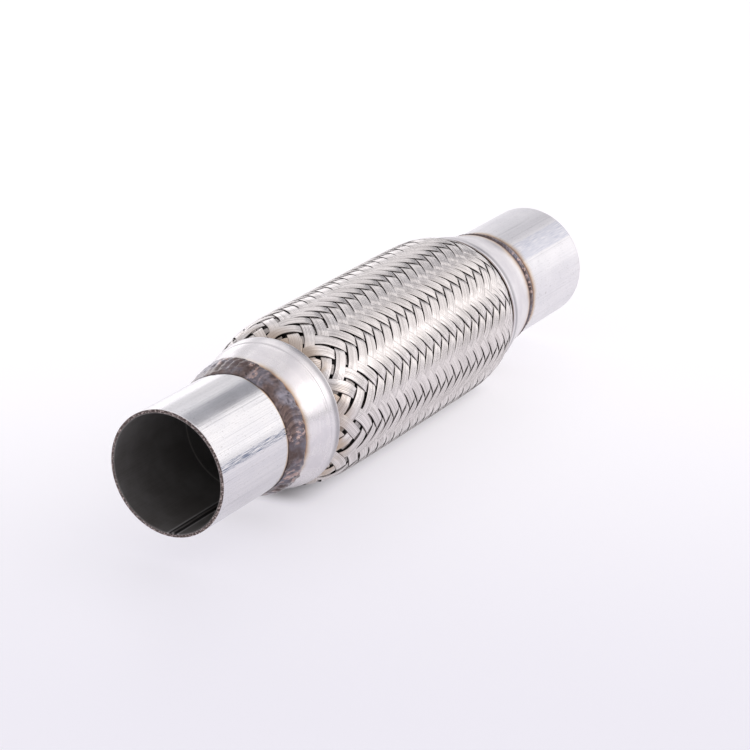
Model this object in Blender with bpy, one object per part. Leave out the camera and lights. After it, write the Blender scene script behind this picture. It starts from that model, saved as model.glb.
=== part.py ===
"""Braided exhaust flex pipe, standing on its outlet end.

The pipe's axis is +Z and the origin is the centre of the lower cut face.
A station is a distance in metres from the nearer cut face, measured inwards.
"""
import math

import bmesh
import bpy

# Whole pipe
OVERALL_LENGTH = 0.2946
ROUND_STEPS = 48
HIDDEN_STEPS = 20
CLEARANCE = 0.0003
HIDDEN_FLAT_SHARE = math.cos(math.pi / HIDDEN_STEPS)

# Straight end pipes: the length that shows, and the length inside the cap
PIPE_RADIUS = 0.0254
PIPE_WALL = 0.0015
PIPE_DEBURR = 0.00025
PIPE_SHOWING = 0.0505
PIPE_INSERTION = 0.0165
PIPE_DEPTH = PIPE_SHOWING + PIPE_INSERTION

# Sleeves that join each end pipe to the liner
SLEEVE_SHEET = 0.0005
SLEEVE_BORE_RADIUS = (PIPE_RADIUS + CLEARANCE) / HIDDEN_FLAT_SHARE
SLEEVE_RADIUS = SLEEVE_BORE_RADIUS + SLEEVE_SHEET
SLEEVE_ON_PIPE = 0.0060
SLEEVE_ON_LINER = 0.0110
SLEEVE_OUTER_END = PIPE_DEPTH - SLEEVE_ON_PIPE
SLEEVE_INNER_END = PIPE_DEPTH + SLEEVE_ON_LINER

# Strip-wound liner, inside the sleeves
LINER_DEPTH = PIPE_DEPTH + CLEARANCE
LINER_SHEET = 0.0004
LINER_RADIUS = SLEEVE_BORE_RADIUS - CLEARANCE
LINER_STRIP_WIDTH = 0.0130
LINER_TURNS = 14

# Ribbons of the braid in each direction, and the wall that they make together
RIBBONS_EACH_WAY = 24
WEAVE_THICKNESS = 0.0016
WEAVE_RELIEF = 0.0011
WEAVE_PRESSED_RELIEF = 0.0004

# Stack of bellows cuff, braid and cap outside the sleeve, with the room between them
BELLOWS_SHEET = 0.0005
BELLOWS_CUFF_RADIUS = SLEEVE_RADIUS + CLEARANCE + BELLOWS_SHEET
BRAID_MOUTH_ROOM = 0.0007
BRAID_MOUTH_RADIUS = BELLOWS_CUFF_RADIUS + WEAVE_THICKNESS + BRAID_MOUTH_ROOM
CAP_SHEET = 0.0010
CAP_RIM_ROOM = 0.0005
CAP_RIM_RADIUS = BRAID_MOUTH_RADIUS + CAP_RIM_ROOM + CAP_SHEET
CAP_LIP_CURL = 0.0002
CAP_CROWN_RADIUS = CAP_RIM_RADIUS + CAP_LIP_CURL
CAP_NECK_RISE = 0.0016
CAP_NECK_RADIUS = PIPE_RADIUS + CAP_NECK_RISE
BARREL_RISE = 0.00408
BARREL_RADIUS = CAP_CROWN_RADIUS + BARREL_RISE

# Stations of the spun end caps
CAP_NECK_END = PIPE_SHOWING
CAP_NECK_CURVE = 0.0030
CAP_NECK_BAND = 0.0020
CAP_FLARE = 0.0176
CAP_LIP = 0.0012
CAP_NECK_START = CAP_NECK_END + CAP_NECK_CURVE
CAP_FLARE_START = CAP_NECK_START + CAP_NECK_BAND
CAP_FLARE_END = CAP_FLARE_START + CAP_FLARE
CAP_RIM = CAP_FLARE_END + CAP_LIP
CAP_NECK_STEPS = 3
CAP_FLARE_STEPS = 6
CAP_LIP_STEPS = 1

# Weld beads: how far the toe lies on the pipe and the heel on the cap, and the bead's height
INLET_BEAD_ON_PIPE = 0.0051
INLET_BEAD_ON_CAP = 0.0045
INLET_BEAD_HEIGHT = 0.0009
INLET_BEAD_TOE = PIPE_SHOWING - INLET_BEAD_ON_PIPE
INLET_BEAD_HEEL = PIPE_SHOWING + INLET_BEAD_ON_CAP
OUTLET_BEAD_WIDTH = 0.0039
OUTLET_BEAD_HEIGHT = 0.0010
OUTLET_BEAD_HEEL = PIPE_SHOWING - CLEARANCE
OUTLET_BEAD_TOE = OUTLET_BEAD_HEEL - OUTLET_BEAD_WIDTH
BEAD_ARC_STEPS = 5
BEAD_LEAN = 1.5
BEAD_UNDERSIDE_STEPS = 3
BEAD_RIPPLES = 17
BEAD_RIPPLE_DEPTH = 0.00016

# Weave of the braid
BRAID_TUCK = 0.0050
BRAID_DEPTH = CAP_RIM - BRAID_TUCK
BRAID_TUCK_SLOPE = 0.06
SHOULDER_LENGTH = 0.0065
WEAVE_PITCH = 0.00646
WEAVE_STRETCH = 0.0028
WEAVE_STRETCH_REACH = 0.020
WEAVE_COLUMN_ANGLE = math.radians(-165.0)
WEAVE_REFERENCE = 0.0756
WEAVE_REFERENCE_STATION = CAP_RIM + WEAVE_REFERENCE
GAP_SHARE = 0.24
INLET_GAP_RINGS = 3
OUTLET_GAP_RINGS = 2

# Corrugated bellows
BELLOWS_START = 0.0080
BELLOWS_DEPTH = CAP_FLARE_START + BELLOWS_START
BELLOWS_ROOT_RISE = 0.0006
BELLOWS_ROOT_RADIUS = BELLOWS_CUFF_RADIUS + BELLOWS_ROOT_RISE
BELLOWS_CREST_ROOM = 0.0016
BELLOWS_CREST_RADIUS = BARREL_RADIUS - WEAVE_THICKNESS - BELLOWS_CREST_ROOM
BELLOWS_CUFF_PAST_RIM = 0.0070
BELLOWS_FIRST_ROOT = CAP_RIM + BELLOWS_CUFF_PAST_RIM
BELLOWS_FIRST_RISE = 0.0046
BELLOWS_FIRST_CREST = BELLOWS_FIRST_ROOT + BELLOWS_FIRST_RISE
BELLOWS_CRESTS = 15

# Base colour, metallic, roughness
FINISHES = {
    "drawn_steel": ((0.62, 0.62, 0.65), 1.0, 0.30),
    "spun_steel": ((0.68, 0.66, 0.68), 1.0, 0.34),
    "weld_metal": ((0.13, 0.10, 0.10), 0.8, 0.45),
    "braid_wire": ((0.66, 0.63, 0.61), 1.0, 0.32),
    "bellows_steel": ((0.30, 0.29, 0.28), 1.0, 0.45),
    "liner_steel": ((0.34, 0.33, 0.32), 1.0, 0.50),
}


def clear_scene():
    """Remove every object that the scene starts with."""
    for existing in list(bpy.data.objects):
        bpy.data.objects.remove(existing, do_unlink=True)


def make_material(node_name, finish):
    """Return one sub-part's own material in the named finish."""
    colour, metallic, roughness = FINISHES[finish]
    material = bpy.data.materials.new(node_name + "_" + finish)
    material.use_nodes = True
    shader = material.node_tree.nodes["Principled BSDF"]
    shader.inputs["Base Color"].default_value = (*colour, 1.0)
    shader.inputs["Metallic"].default_value = metallic
    shader.inputs["Roughness"].default_value = roughness
    return material


def add_body(name, bm, finish, sharp_angle=40.0):
    """Turn a closed bmesh into a named object with its own material."""
    bmesh.ops.recalc_face_normals(bm, faces=bm.faces)
    mesh = bpy.data.meshes.new(name)
    bm.to_mesh(mesh)
    bm.free()
    mesh.shade_smooth()
    mesh.set_sharp_from_angle(angle=math.radians(sharp_angle))
    mesh.materials.append(make_material(name, finish))
    body = bpy.data.objects.new(name, mesh)
    bpy.context.collection.objects.link(body)
    return body


def height(station, at_inlet):
    """Return the height above the outlet face of a station at one end."""
    return OVERALL_LENGTH - station if at_inlet else station


def outline_loop(bm, outline):
    """Draw a closed outline of (radius, height) points in the XZ plane."""
    points = [bm.verts.new((radius, 0.0, z)) for radius, z in outline]
    pairs = zip(points, points[1:] + points[:1])
    return points + [bm.edges.new(pair) for pair in pairs]


def turned_mesh(outline, steps):
    """Turn a closed outline once round the pipe's axis."""
    bm = bmesh.new()
    geometry = outline_loop(bm, outline)
    bmesh.ops.spin(bm, geom=geometry, cent=(0.0, 0.0, 0.0), axis=(0.0, 0.0, 1.0),
                   angle=2.0 * math.pi, steps=steps, use_merge=True)
    return bm


def build_end_pipe(name, at_inlet):
    """Build a straight end pipe with a lightly deburred cut face."""
    bore = PIPE_RADIUS - PIPE_WALL
    outline = [
        (PIPE_RADIUS - PIPE_DEBURR, height(0.0, at_inlet)),
        (PIPE_RADIUS, height(PIPE_DEBURR, at_inlet)),
        (PIPE_RADIUS, height(PIPE_DEPTH, at_inlet)),
        (bore, height(PIPE_DEPTH, at_inlet)),
        (bore, height(PIPE_DEBURR, at_inlet)),
        (bore + PIPE_DEBURR, height(0.0, at_inlet)),
    ]
    return add_body(name, turned_mesh(outline, ROUND_STEPS), "drawn_steel")


def swept(start, end, share):
    """Return a value on the smooth S-shaped sweep between two others."""
    return start + (end - start) * (0.5 - 0.5 * math.cos(math.pi * share))


def cap_outer_side():
    """Return the cap's outer side as (station, radius) points, neck to rim."""
    neck_end_radius = PIPE_RADIUS + CLEARANCE + CAP_SHEET * 0.5
    side = []
    for step in range(CAP_NECK_STEPS + 1):
        share = step / CAP_NECK_STEPS
        along = CAP_NECK_END + (CAP_NECK_START - CAP_NECK_END) * share
        side.append((along, swept(neck_end_radius, CAP_NECK_RADIUS, share)))
    for step in range(CAP_FLARE_STEPS + 1):
        share = step / CAP_FLARE_STEPS
        along = CAP_FLARE_START + (CAP_FLARE_END - CAP_FLARE_START) * share
        side.append((along, swept(CAP_NECK_RADIUS, CAP_CROWN_RADIUS, share)))
    for step in range(1, CAP_LIP_STEPS + 1):
        share = step / CAP_LIP_STEPS
        along = CAP_FLARE_END + (CAP_RIM - CAP_FLARE_END) * share
        side.append((along, CAP_CROWN_RADIUS - (CAP_CROWN_RADIUS - CAP_RIM_RADIUS) * share ** 2))
    return side


def cap_inner_side():
    """Return the cap's inner side from the rim back to the neck end."""
    bore = PIPE_RADIUS + CLEARANCE
    side = []
    for along, radius in cap_outer_side()[:CAP_NECK_STEPS:-2]:
        side.append((along, radius - CAP_SHEET))
    side.append((CAP_NECK_START, CAP_NECK_RADIUS - CAP_SHEET - CLEARANCE))
    side.append((CAP_NECK_END, bore))
    return side


def build_end_cap(name, at_inlet):
    """Build a spun cap that necks down to the pipe and holds the braid's end."""
    side = cap_outer_side() + cap_inner_side()
    outline = [(radius, height(along, at_inlet)) for along, radius in side]
    return add_body(name, turned_mesh(outline, ROUND_STEPS), "spun_steel")


def cap_radius_at(station):
    """Return the cap's outer radius at a station on its neck."""
    side = cap_outer_side()
    for (start, low), (end, high) in zip(side, side[1:]):
        if start <= station <= end and end > start:
            return low + (high - low) * (station - start) / (end - start)
    return PIPE_RADIUS


def build_weld_bead(name, at_inlet, toe, heel, rise):
    """Build a rippled weld bead between the end pipe and the cap's neck."""
    foot = PIPE_RADIUS + CLEARANCE
    over_cap = heel > CAP_NECK_END
    heel_foot = cap_radius_at(heel) + CLEARANCE if over_cap else foot
    outline = []
    for step in range(BEAD_ARC_STEPS + 1):
        share = step / BEAD_ARC_STEPS
        base = foot + (heel_foot - foot) * share
        crown = rise * math.sin(math.pi * share ** BEAD_LEAN)
        outline.append((base + crown, toe + (heel - toe) * share))
    if over_cap:
        for step in range(1, BEAD_UNDERSIDE_STEPS):
            station = heel + (CAP_NECK_END - heel) * step / BEAD_UNDERSIDE_STEPS
            outline.append((cap_radius_at(station) + CLEARANCE, station))
        lap_start = CAP_NECK_END - CLEARANCE
        outline.append((cap_radius_at(CAP_NECK_END) + CLEARANCE, lap_start))
        outline.append((foot, lap_start))
    bm = turned_mesh([(radius, height(along, at_inlet)) for radius, along in outline], ROUND_STEPS)
    for vertex in bm.verts:
        radius = math.hypot(vertex.co.x, vertex.co.y)
        station = height(vertex.co.z, at_inlet)
        base = foot + (heel_foot - foot) * (station - toe) / (heel - toe)
        if radius > base + BEAD_RIPPLE_DEPTH:
            angle = math.atan2(vertex.co.y, vertex.co.x)
            wave = math.sin(BEAD_RIPPLES * angle) + 0.6 * math.sin(3.0 * angle + 1.0)
            growth = 1.0 + BEAD_RIPPLE_DEPTH * wave / radius
            vertex.co.x *= growth
            vertex.co.y *= growth
    return add_body(name, bm, "weld_metal")


def weave_radius(z):
    """Return the radius of the ribbons' tops at a height."""
    past_rim = min(z, OVERALL_LENGTH - z) - CAP_RIM
    if past_rim < 0.0:
        return BRAID_MOUTH_RADIUS + BRAID_TUCK_SLOPE * past_rim
    drop = BARREL_RADIUS - BRAID_MOUTH_RADIUS
    return BARREL_RADIUS - drop * math.exp(-past_rim / SHOULDER_LENGTH)


def weave_relief(z):
    """Return how deep the gaps lie below the ribbons' tops at a height."""
    past_rim = min(z, OVERALL_LENGTH - z) - CAP_RIM
    return WEAVE_RELIEF if past_rim > 0.0 else WEAVE_PRESSED_RELIEF


def half_pitch(z):
    """Return the height between two rings of crossings, longer by the inlet."""
    below_rim = OVERALL_LENGTH - CAP_RIM - z
    stretch = WEAVE_STRETCH * math.exp(-(below_rim / WEAVE_STRETCH_REACH) ** 2)
    return 0.5 * (WEAVE_PITCH + stretch)


def weave_rings():
    """Return the rings' heights from the inlet down, keyed by ring number."""
    rings = {0: OVERALL_LENGTH - WEAVE_REFERENCE_STATION}
    ring = 0
    while rings[ring] + half_pitch(rings[ring]) < OVERALL_LENGTH - BRAID_DEPTH:
        rings[ring - 1] = rings[ring] + half_pitch(rings[ring])
        ring -= 1
    ring = 0
    while rings[ring] - half_pitch(rings[ring]) > BRAID_DEPTH:
        rings[ring + 1] = rings[ring] - half_pitch(rings[ring])
        ring += 1
    return dict(sorted(rings.items()))


class BraidWall:
    """One closed woven wall: ribbon tops outside, a plain face inside.

    Columns run along the pipe and rings run round it. A site is a crossing
    of two ribbons or the gap beside one, by turns in both directions. In two
    columns of four the right-hand ribbons lie on top, in the next two the
    left-hand ones do, which is an over-two, under-two weave.
    """

    def __init__(self):
        self.bm = bmesh.new()
        self.rings = weave_rings()
        self.columns = 2 * RIBBONS_EACH_WAY
        self.first = min(self.rings)
        self.last = max(self.rings)
        inlet_rim = OVERALL_LENGTH - CAP_RIM
        past_inlet = [ring for ring, z in self.rings.items() if z < inlet_rim - 0.002]
        before_outlet = [ring for ring, z in self.rings.items() if z > CAP_RIM + 0.002]
        self.inlet_gaps = past_inlet[:INLET_GAP_RINGS]
        self.outlet_gaps = before_outlet[-OUTLET_GAP_RINGS:]
        self.sites = {}
        self.corners = {}

    def is_gap(self, column, ring):
        """Tell whether a site lies between the ribbons."""
        return (column + ring) % 2 == 0

    def is_open(self, column, ring):
        """Tell whether a site is a gap that goes right through the wall."""
        return self.is_gap(column, ring) and ring in self.inlet_gaps + self.outlet_gaps

    def radius(self, column, ring, outer):
        """Return the wall's outer or inner radius at a site."""
        z = self.rings[ring]
        if not outer:
            return weave_radius(z) - WEAVE_THICKNESS
        if self.is_gap(column, ring):
            return weave_radius(z) - weave_relief(z)
        return weave_radius(z)

    def place(self, column, ring, outer):
        """Return a site's position in space."""
        angle = WEAVE_COLUMN_ANGLE + 2.0 * math.pi * column / self.columns
        radius = self.radius(column, ring, outer)
        return radius * math.cos(angle), radius * math.sin(angle), self.rings[ring]

    def vertex(self, column, ring, outer):
        """Return a site's vertex, made once."""
        key = (column % self.columns, ring, outer)
        if key not in self.sites:
            self.sites[key] = self.bm.verts.new(self.place(column, ring, outer))
        return self.sites[key]

    def corner(self, column, ring, outer, beside):
        """Return the corner of an open gap that faces a neighbouring site."""
        step = (beside[0] - column, beside[1] - ring)
        key = (column % self.columns, ring, outer, step)
        if key not in self.corners:
            here = self.place(column, ring, outer)
            there = self.place(beside[0], beside[1], outer)
            spot = [a + (b - a) * GAP_SHARE for a, b in zip(here, there)]
            self.corners[key] = self.bm.verts.new(spot)
        return self.corners[key]

    def rim_pair(self, site, before, after, outer):
        """Return a cell corner's vertices: one, or two beside an open gap."""
        if self.is_open(*site):
            return [self.corner(*site, outer, before), self.corner(*site, outer, after)]
        return [self.vertex(*site, outer)]

    def add_cell(self, column, ring, outer):
        """Add the faces between two columns and two rings."""
        cell = [(column, ring + 1), (column + 1, ring + 1), (column + 1, ring), (column, ring)]
        if self.is_gap(*cell[0]):
            cell = cell[1:] + cell[:1]
        rising = (column + ring) % 2 == 1
        floats_here = column % 4 == (3 if rising else 1)
        near_top, near_gap, far_top, far_gap = cell
        top_a = self.vertex(*near_top, outer)
        top_b = self.vertex(*far_top, outer)
        first = self.rim_pair(near_gap, near_top, far_top, outer)
        second = self.rim_pair(far_gap, far_top, near_top, outer)
        if not outer or floats_here:
            faces = [[top_a, *first, top_b], [top_b, *second, top_a]]
        else:
            faces = [[top_a, first[0], second[-1]], [top_b, second[0], first[-1]]]
            middle = first + second
            if len(middle) > 2:
                faces.append(middle)
        for face in faces:
            self.bm.faces.new(face)

    def add_band(self, upper, lower, outer):
        """Add one plain band of faces between two rings."""
        for column in range(self.columns):
            self.bm.faces.new([self.vertex(column, lower, outer),
                               self.vertex(column + 1, lower, outer),
                               self.vertex(column + 1, upper, outer),
                               self.vertex(column, upper, outer)])

    def add_gap_sides(self, column, ring):
        """Line one open gap from the outer face to the inner one."""
        around = [(column + 1, ring), (column, ring + 1), (column - 1, ring), (column, ring - 1)]
        for start, end in zip(around, around[1:] + around[:1]):
            self.bm.faces.new([self.corner(column, ring, True, start),
                               self.corner(column, ring, True, end),
                               self.corner(column, ring, False, end),
                               self.corner(column, ring, False, start)])

    def add_end(self, ring):
        """Close the wall's edge at its first or last ring."""
        for column in range(self.columns):
            self.bm.faces.new([self.vertex(column, ring, True),
                               self.vertex(column + 1, ring, True),
                               self.vertex(column + 1, ring, False),
                               self.vertex(column, ring, False)])

    def build(self):
        """Build the whole wall and return its bmesh."""
        for ring in range(self.first, self.last):
            for column in range(self.columns):
                self.add_cell(column, ring, True)
        inlet_end = self.inlet_gaps[-1] + 1
        outlet_start = self.outlet_gaps[0] - 1
        shoulders = list(range(self.first, inlet_end)) + list(range(outlet_start, self.last))
        for ring in shoulders:
            for column in range(self.columns):
                self.add_cell(column, ring, False)
        self.add_band(inlet_end, outlet_start, False)
        for ring in self.inlet_gaps + self.outlet_gaps:
            for column in range(self.columns):
                if self.is_open(column, ring):
                    self.add_gap_sides(column, ring)
        self.add_end(self.first)
        self.add_end(self.last)
        bmesh.ops.triangulate(self.bm, faces=self.bm.faces)
        return self.bm


def build_bellows():
    """Build the thin corrugated tube, with a plain cuff at each end."""
    half = []
    half.append((BELLOWS_CUFF_RADIUS, BELLOWS_DEPTH))
    half.append((BELLOWS_CUFF_RADIUS, BELLOWS_FIRST_ROOT))
    pitch = (OVERALL_LENGTH - 2.0 * BELLOWS_FIRST_CREST) / (BELLOWS_CRESTS - 1)
    waves = []
    for crest in range(BELLOWS_CRESTS):
        station = BELLOWS_FIRST_CREST + pitch * crest
        waves.append((BELLOWS_CREST_RADIUS, station))
        if crest < BELLOWS_CRESTS - 1:
            waves.append((BELLOWS_ROOT_RADIUS, station + 0.5 * pitch))
    mirrored = [(radius, OVERALL_LENGTH - z) for radius, z in reversed(half)]
    outer = half + waves + mirrored
    inner = [(radius - BELLOWS_SHEET, z) for radius, z in reversed(outer)]
    return add_body("bellows", turned_mesh(outer + inner, HIDDEN_STEPS), "bellows_steel")


def build_liner():
    """Wind a strip into a tube, each turn lapping over the one below it."""
    length = OVERALL_LENGTH - 2.0 * LINER_DEPTH
    pitch = (length - LINER_STRIP_WIDTH) / LINER_TURNS
    slope = (LINER_SHEET + CLEARANCE) / pitch
    tucked_radius = LINER_RADIUS - slope * LINER_STRIP_WIDTH
    low = LINER_DEPTH
    high = low + LINER_STRIP_WIDTH
    strip = [
        (tucked_radius, high),
        (LINER_RADIUS, low),
        (LINER_RADIUS - LINER_SHEET, low),
        (tucked_radius - LINER_SHEET, high),
    ]
    bm = bmesh.new()
    geometry = outline_loop(bm, strip)
    bmesh.ops.spin(bm, geom=geometry, cent=(0.0, 0.0, 0.0), axis=(0.0, 0.0, 1.0),
                   dvec=(0.0, 0.0, pitch / HIDDEN_STEPS),
                   angle=2.0 * math.pi * LINER_TURNS, steps=HIDDEN_STEPS * LINER_TURNS)
    ends = [edge for edge in bm.edges if edge.is_boundary]
    bmesh.ops.holes_fill(bm, edges=ends, sides=0)
    return add_body("interlock_liner", bm, "liner_steel")


def build_sleeve(name, at_inlet):
    """Build the short sleeve over the joint of an end pipe and the liner."""
    outline = [
        (SLEEVE_RADIUS, height(SLEEVE_OUTER_END, at_inlet)),
        (SLEEVE_RADIUS, height(SLEEVE_INNER_END, at_inlet)),
        (SLEEVE_BORE_RADIUS, height(SLEEVE_INNER_END, at_inlet)),
        (SLEEVE_BORE_RADIUS, height(SLEEVE_OUTER_END, at_inlet)),
    ]
    return add_body(name, turned_mesh(outline, HIDDEN_STEPS), "liner_steel")


def main():
    """Build every piece of the pipe."""
    clear_scene()
    build_end_pipe("inlet_pipe", True)
    build_end_pipe("outlet_pipe", False)
    build_end_cap("inlet_end_cap", True)
    build_end_cap("outlet_end_cap", False)
    build_weld_bead("inlet_weld_bead", True, INLET_BEAD_TOE, INLET_BEAD_HEEL, INLET_BEAD_HEIGHT)
    build_weld_bead("outlet_weld_bead", False, OUTLET_BEAD_TOE, OUTLET_BEAD_HEEL,
                    OUTLET_BEAD_HEIGHT)
    add_body("outer_braid", BraidWall().build(), "braid_wire", sharp_angle=12.0)
    build_bellows()
    build_liner()
    build_sleeve("inlet_liner_sleeve", True)
    build_sleeve("outlet_liner_sleeve", False)


main()
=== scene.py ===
"""Looks of the braided exhaust flex pipe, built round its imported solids.

The pipe stands on its outlet end with its axis on Z. In the photograph it
lies on its side, so the ceiling of the photograph is towards -Y here, and
the table under it is a wall of the stage at +Y. A station is a distance from
the nearer cut face, measured inwards, and angles run round Z from +X.
"""
import logging
import math
from collections.abc import Callable, Iterator
from contextlib import contextmanager
from dataclasses import dataclass, field, replace
from enum import Enum
from functools import partial
from itertools import pairwise

import bpy
import numpy as np
from mathutils import Matrix, Vector


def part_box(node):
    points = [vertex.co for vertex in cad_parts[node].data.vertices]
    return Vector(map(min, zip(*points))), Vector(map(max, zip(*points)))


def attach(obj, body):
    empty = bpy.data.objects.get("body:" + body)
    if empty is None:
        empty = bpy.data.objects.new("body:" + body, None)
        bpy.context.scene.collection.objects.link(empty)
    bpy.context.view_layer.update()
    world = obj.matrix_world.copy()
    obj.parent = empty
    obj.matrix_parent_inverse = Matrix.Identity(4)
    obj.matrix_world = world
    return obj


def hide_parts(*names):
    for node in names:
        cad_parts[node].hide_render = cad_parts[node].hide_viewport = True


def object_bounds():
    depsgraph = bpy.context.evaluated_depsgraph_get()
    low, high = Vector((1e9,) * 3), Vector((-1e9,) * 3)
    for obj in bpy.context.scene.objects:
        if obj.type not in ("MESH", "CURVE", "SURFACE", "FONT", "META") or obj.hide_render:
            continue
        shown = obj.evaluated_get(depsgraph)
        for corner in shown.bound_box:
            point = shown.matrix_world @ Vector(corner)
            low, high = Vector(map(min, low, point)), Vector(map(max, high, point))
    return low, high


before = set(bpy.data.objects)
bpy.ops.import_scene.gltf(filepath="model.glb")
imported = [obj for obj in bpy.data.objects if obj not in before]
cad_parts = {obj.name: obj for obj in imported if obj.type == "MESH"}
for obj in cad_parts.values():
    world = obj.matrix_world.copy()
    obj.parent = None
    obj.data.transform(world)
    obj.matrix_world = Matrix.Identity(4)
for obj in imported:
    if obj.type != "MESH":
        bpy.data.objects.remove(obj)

CAD_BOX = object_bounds()
BODY = "root"

Colour = tuple[float, float, float]
Outline = list[tuple[float, float]]
Rows = tuple[tuple[float, float], ...]
Socket = bpy.types.NodeSocket
Operand = float | Socket
Point = tuple[Operand, Operand, Operand]
Push = Callable[[np.ndarray, np.ndarray, np.ndarray], tuple[np.ndarray, np.ndarray]]

log = logging.getLogger("flex_pipe")


def look_up(rows: Rows, places: np.ndarray, period: float | None = None) -> np.ndarray:
    """Return the values at places, between the rows of a table of places and values."""
    return np.interp(places, *zip(*rows), period=period)


class Lay(Enum):
    """The two ways in which the braid's ribbons wind down from the inlet."""

    RIGHT = 1
    LEFT = -1


class End(Enum):
    """The two ends of the pipe."""

    INLET = "inlet"
    OUTLET = "outlet"

    @property
    def inward(self) -> float:
        """1 if the way into the pipe is up from this end, else -1."""
        return -1.0 if self is End.INLET else 1.0


@dataclass(frozen=True)
class Envelope:
    """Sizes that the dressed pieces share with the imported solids.

    Args:
        length: Overall length of the pipe.
        pipe_radius: Outer radius of the end pipes.
        pipe_depth: Station at which an end pipe ends inside its cap.
        cap_start: Station at which a cap's neck begins.
        rim: Station of a cap's rim.
        crown_radius: Largest radius of a cap.
        barrel_radius: Radius of the ribbons' tops along the barrel.
    """

    length: float
    pipe_radius: float
    pipe_depth: float
    cap_start: float
    rim: float
    crown_radius: float
    barrel_radius: float

    @classmethod
    def from_frame(cls) -> "Envelope":
        """Read the sizes from the solids' boxes.

        Returns:
            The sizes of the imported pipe.
        """
        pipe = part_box("outlet_pipe")
        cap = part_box("outlet_end_cap")
        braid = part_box("outer_braid")
        return cls(
            length=CAD_BOX[1].z - CAD_BOX[0].z,
            pipe_radius=pipe[1].x,
            pipe_depth=pipe[1].z,
            cap_start=cap[0].z,
            rim=cap[1].z,
            crown_radius=cap[1].x,
            barrel_radius=braid[1].x,
        )

    def height(self, station: float | np.ndarray, end: End) -> float | np.ndarray:
        """Return the height on Z of a station at one end, or a height's station there."""
        return self.length - station if end is End.INLET else station

    def stations(self, heights: np.ndarray) -> np.ndarray:
        """Return the stations of heights."""
        return np.minimum(heights, self.length - heights)

    def below_rim(self, height: float | np.ndarray) -> float | np.ndarray:
        """Return how far heights lie below the inlet cap's rim."""
        return self.length - self.rim - height

    def cap_share(self, stations: np.ndarray) -> np.ndarray:
        """Return shares of the way from a cap's neck to its rim."""
        return np.clip((stations - self.cap_start) / (self.rim - self.cap_start), 0.0, 1.0)


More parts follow.
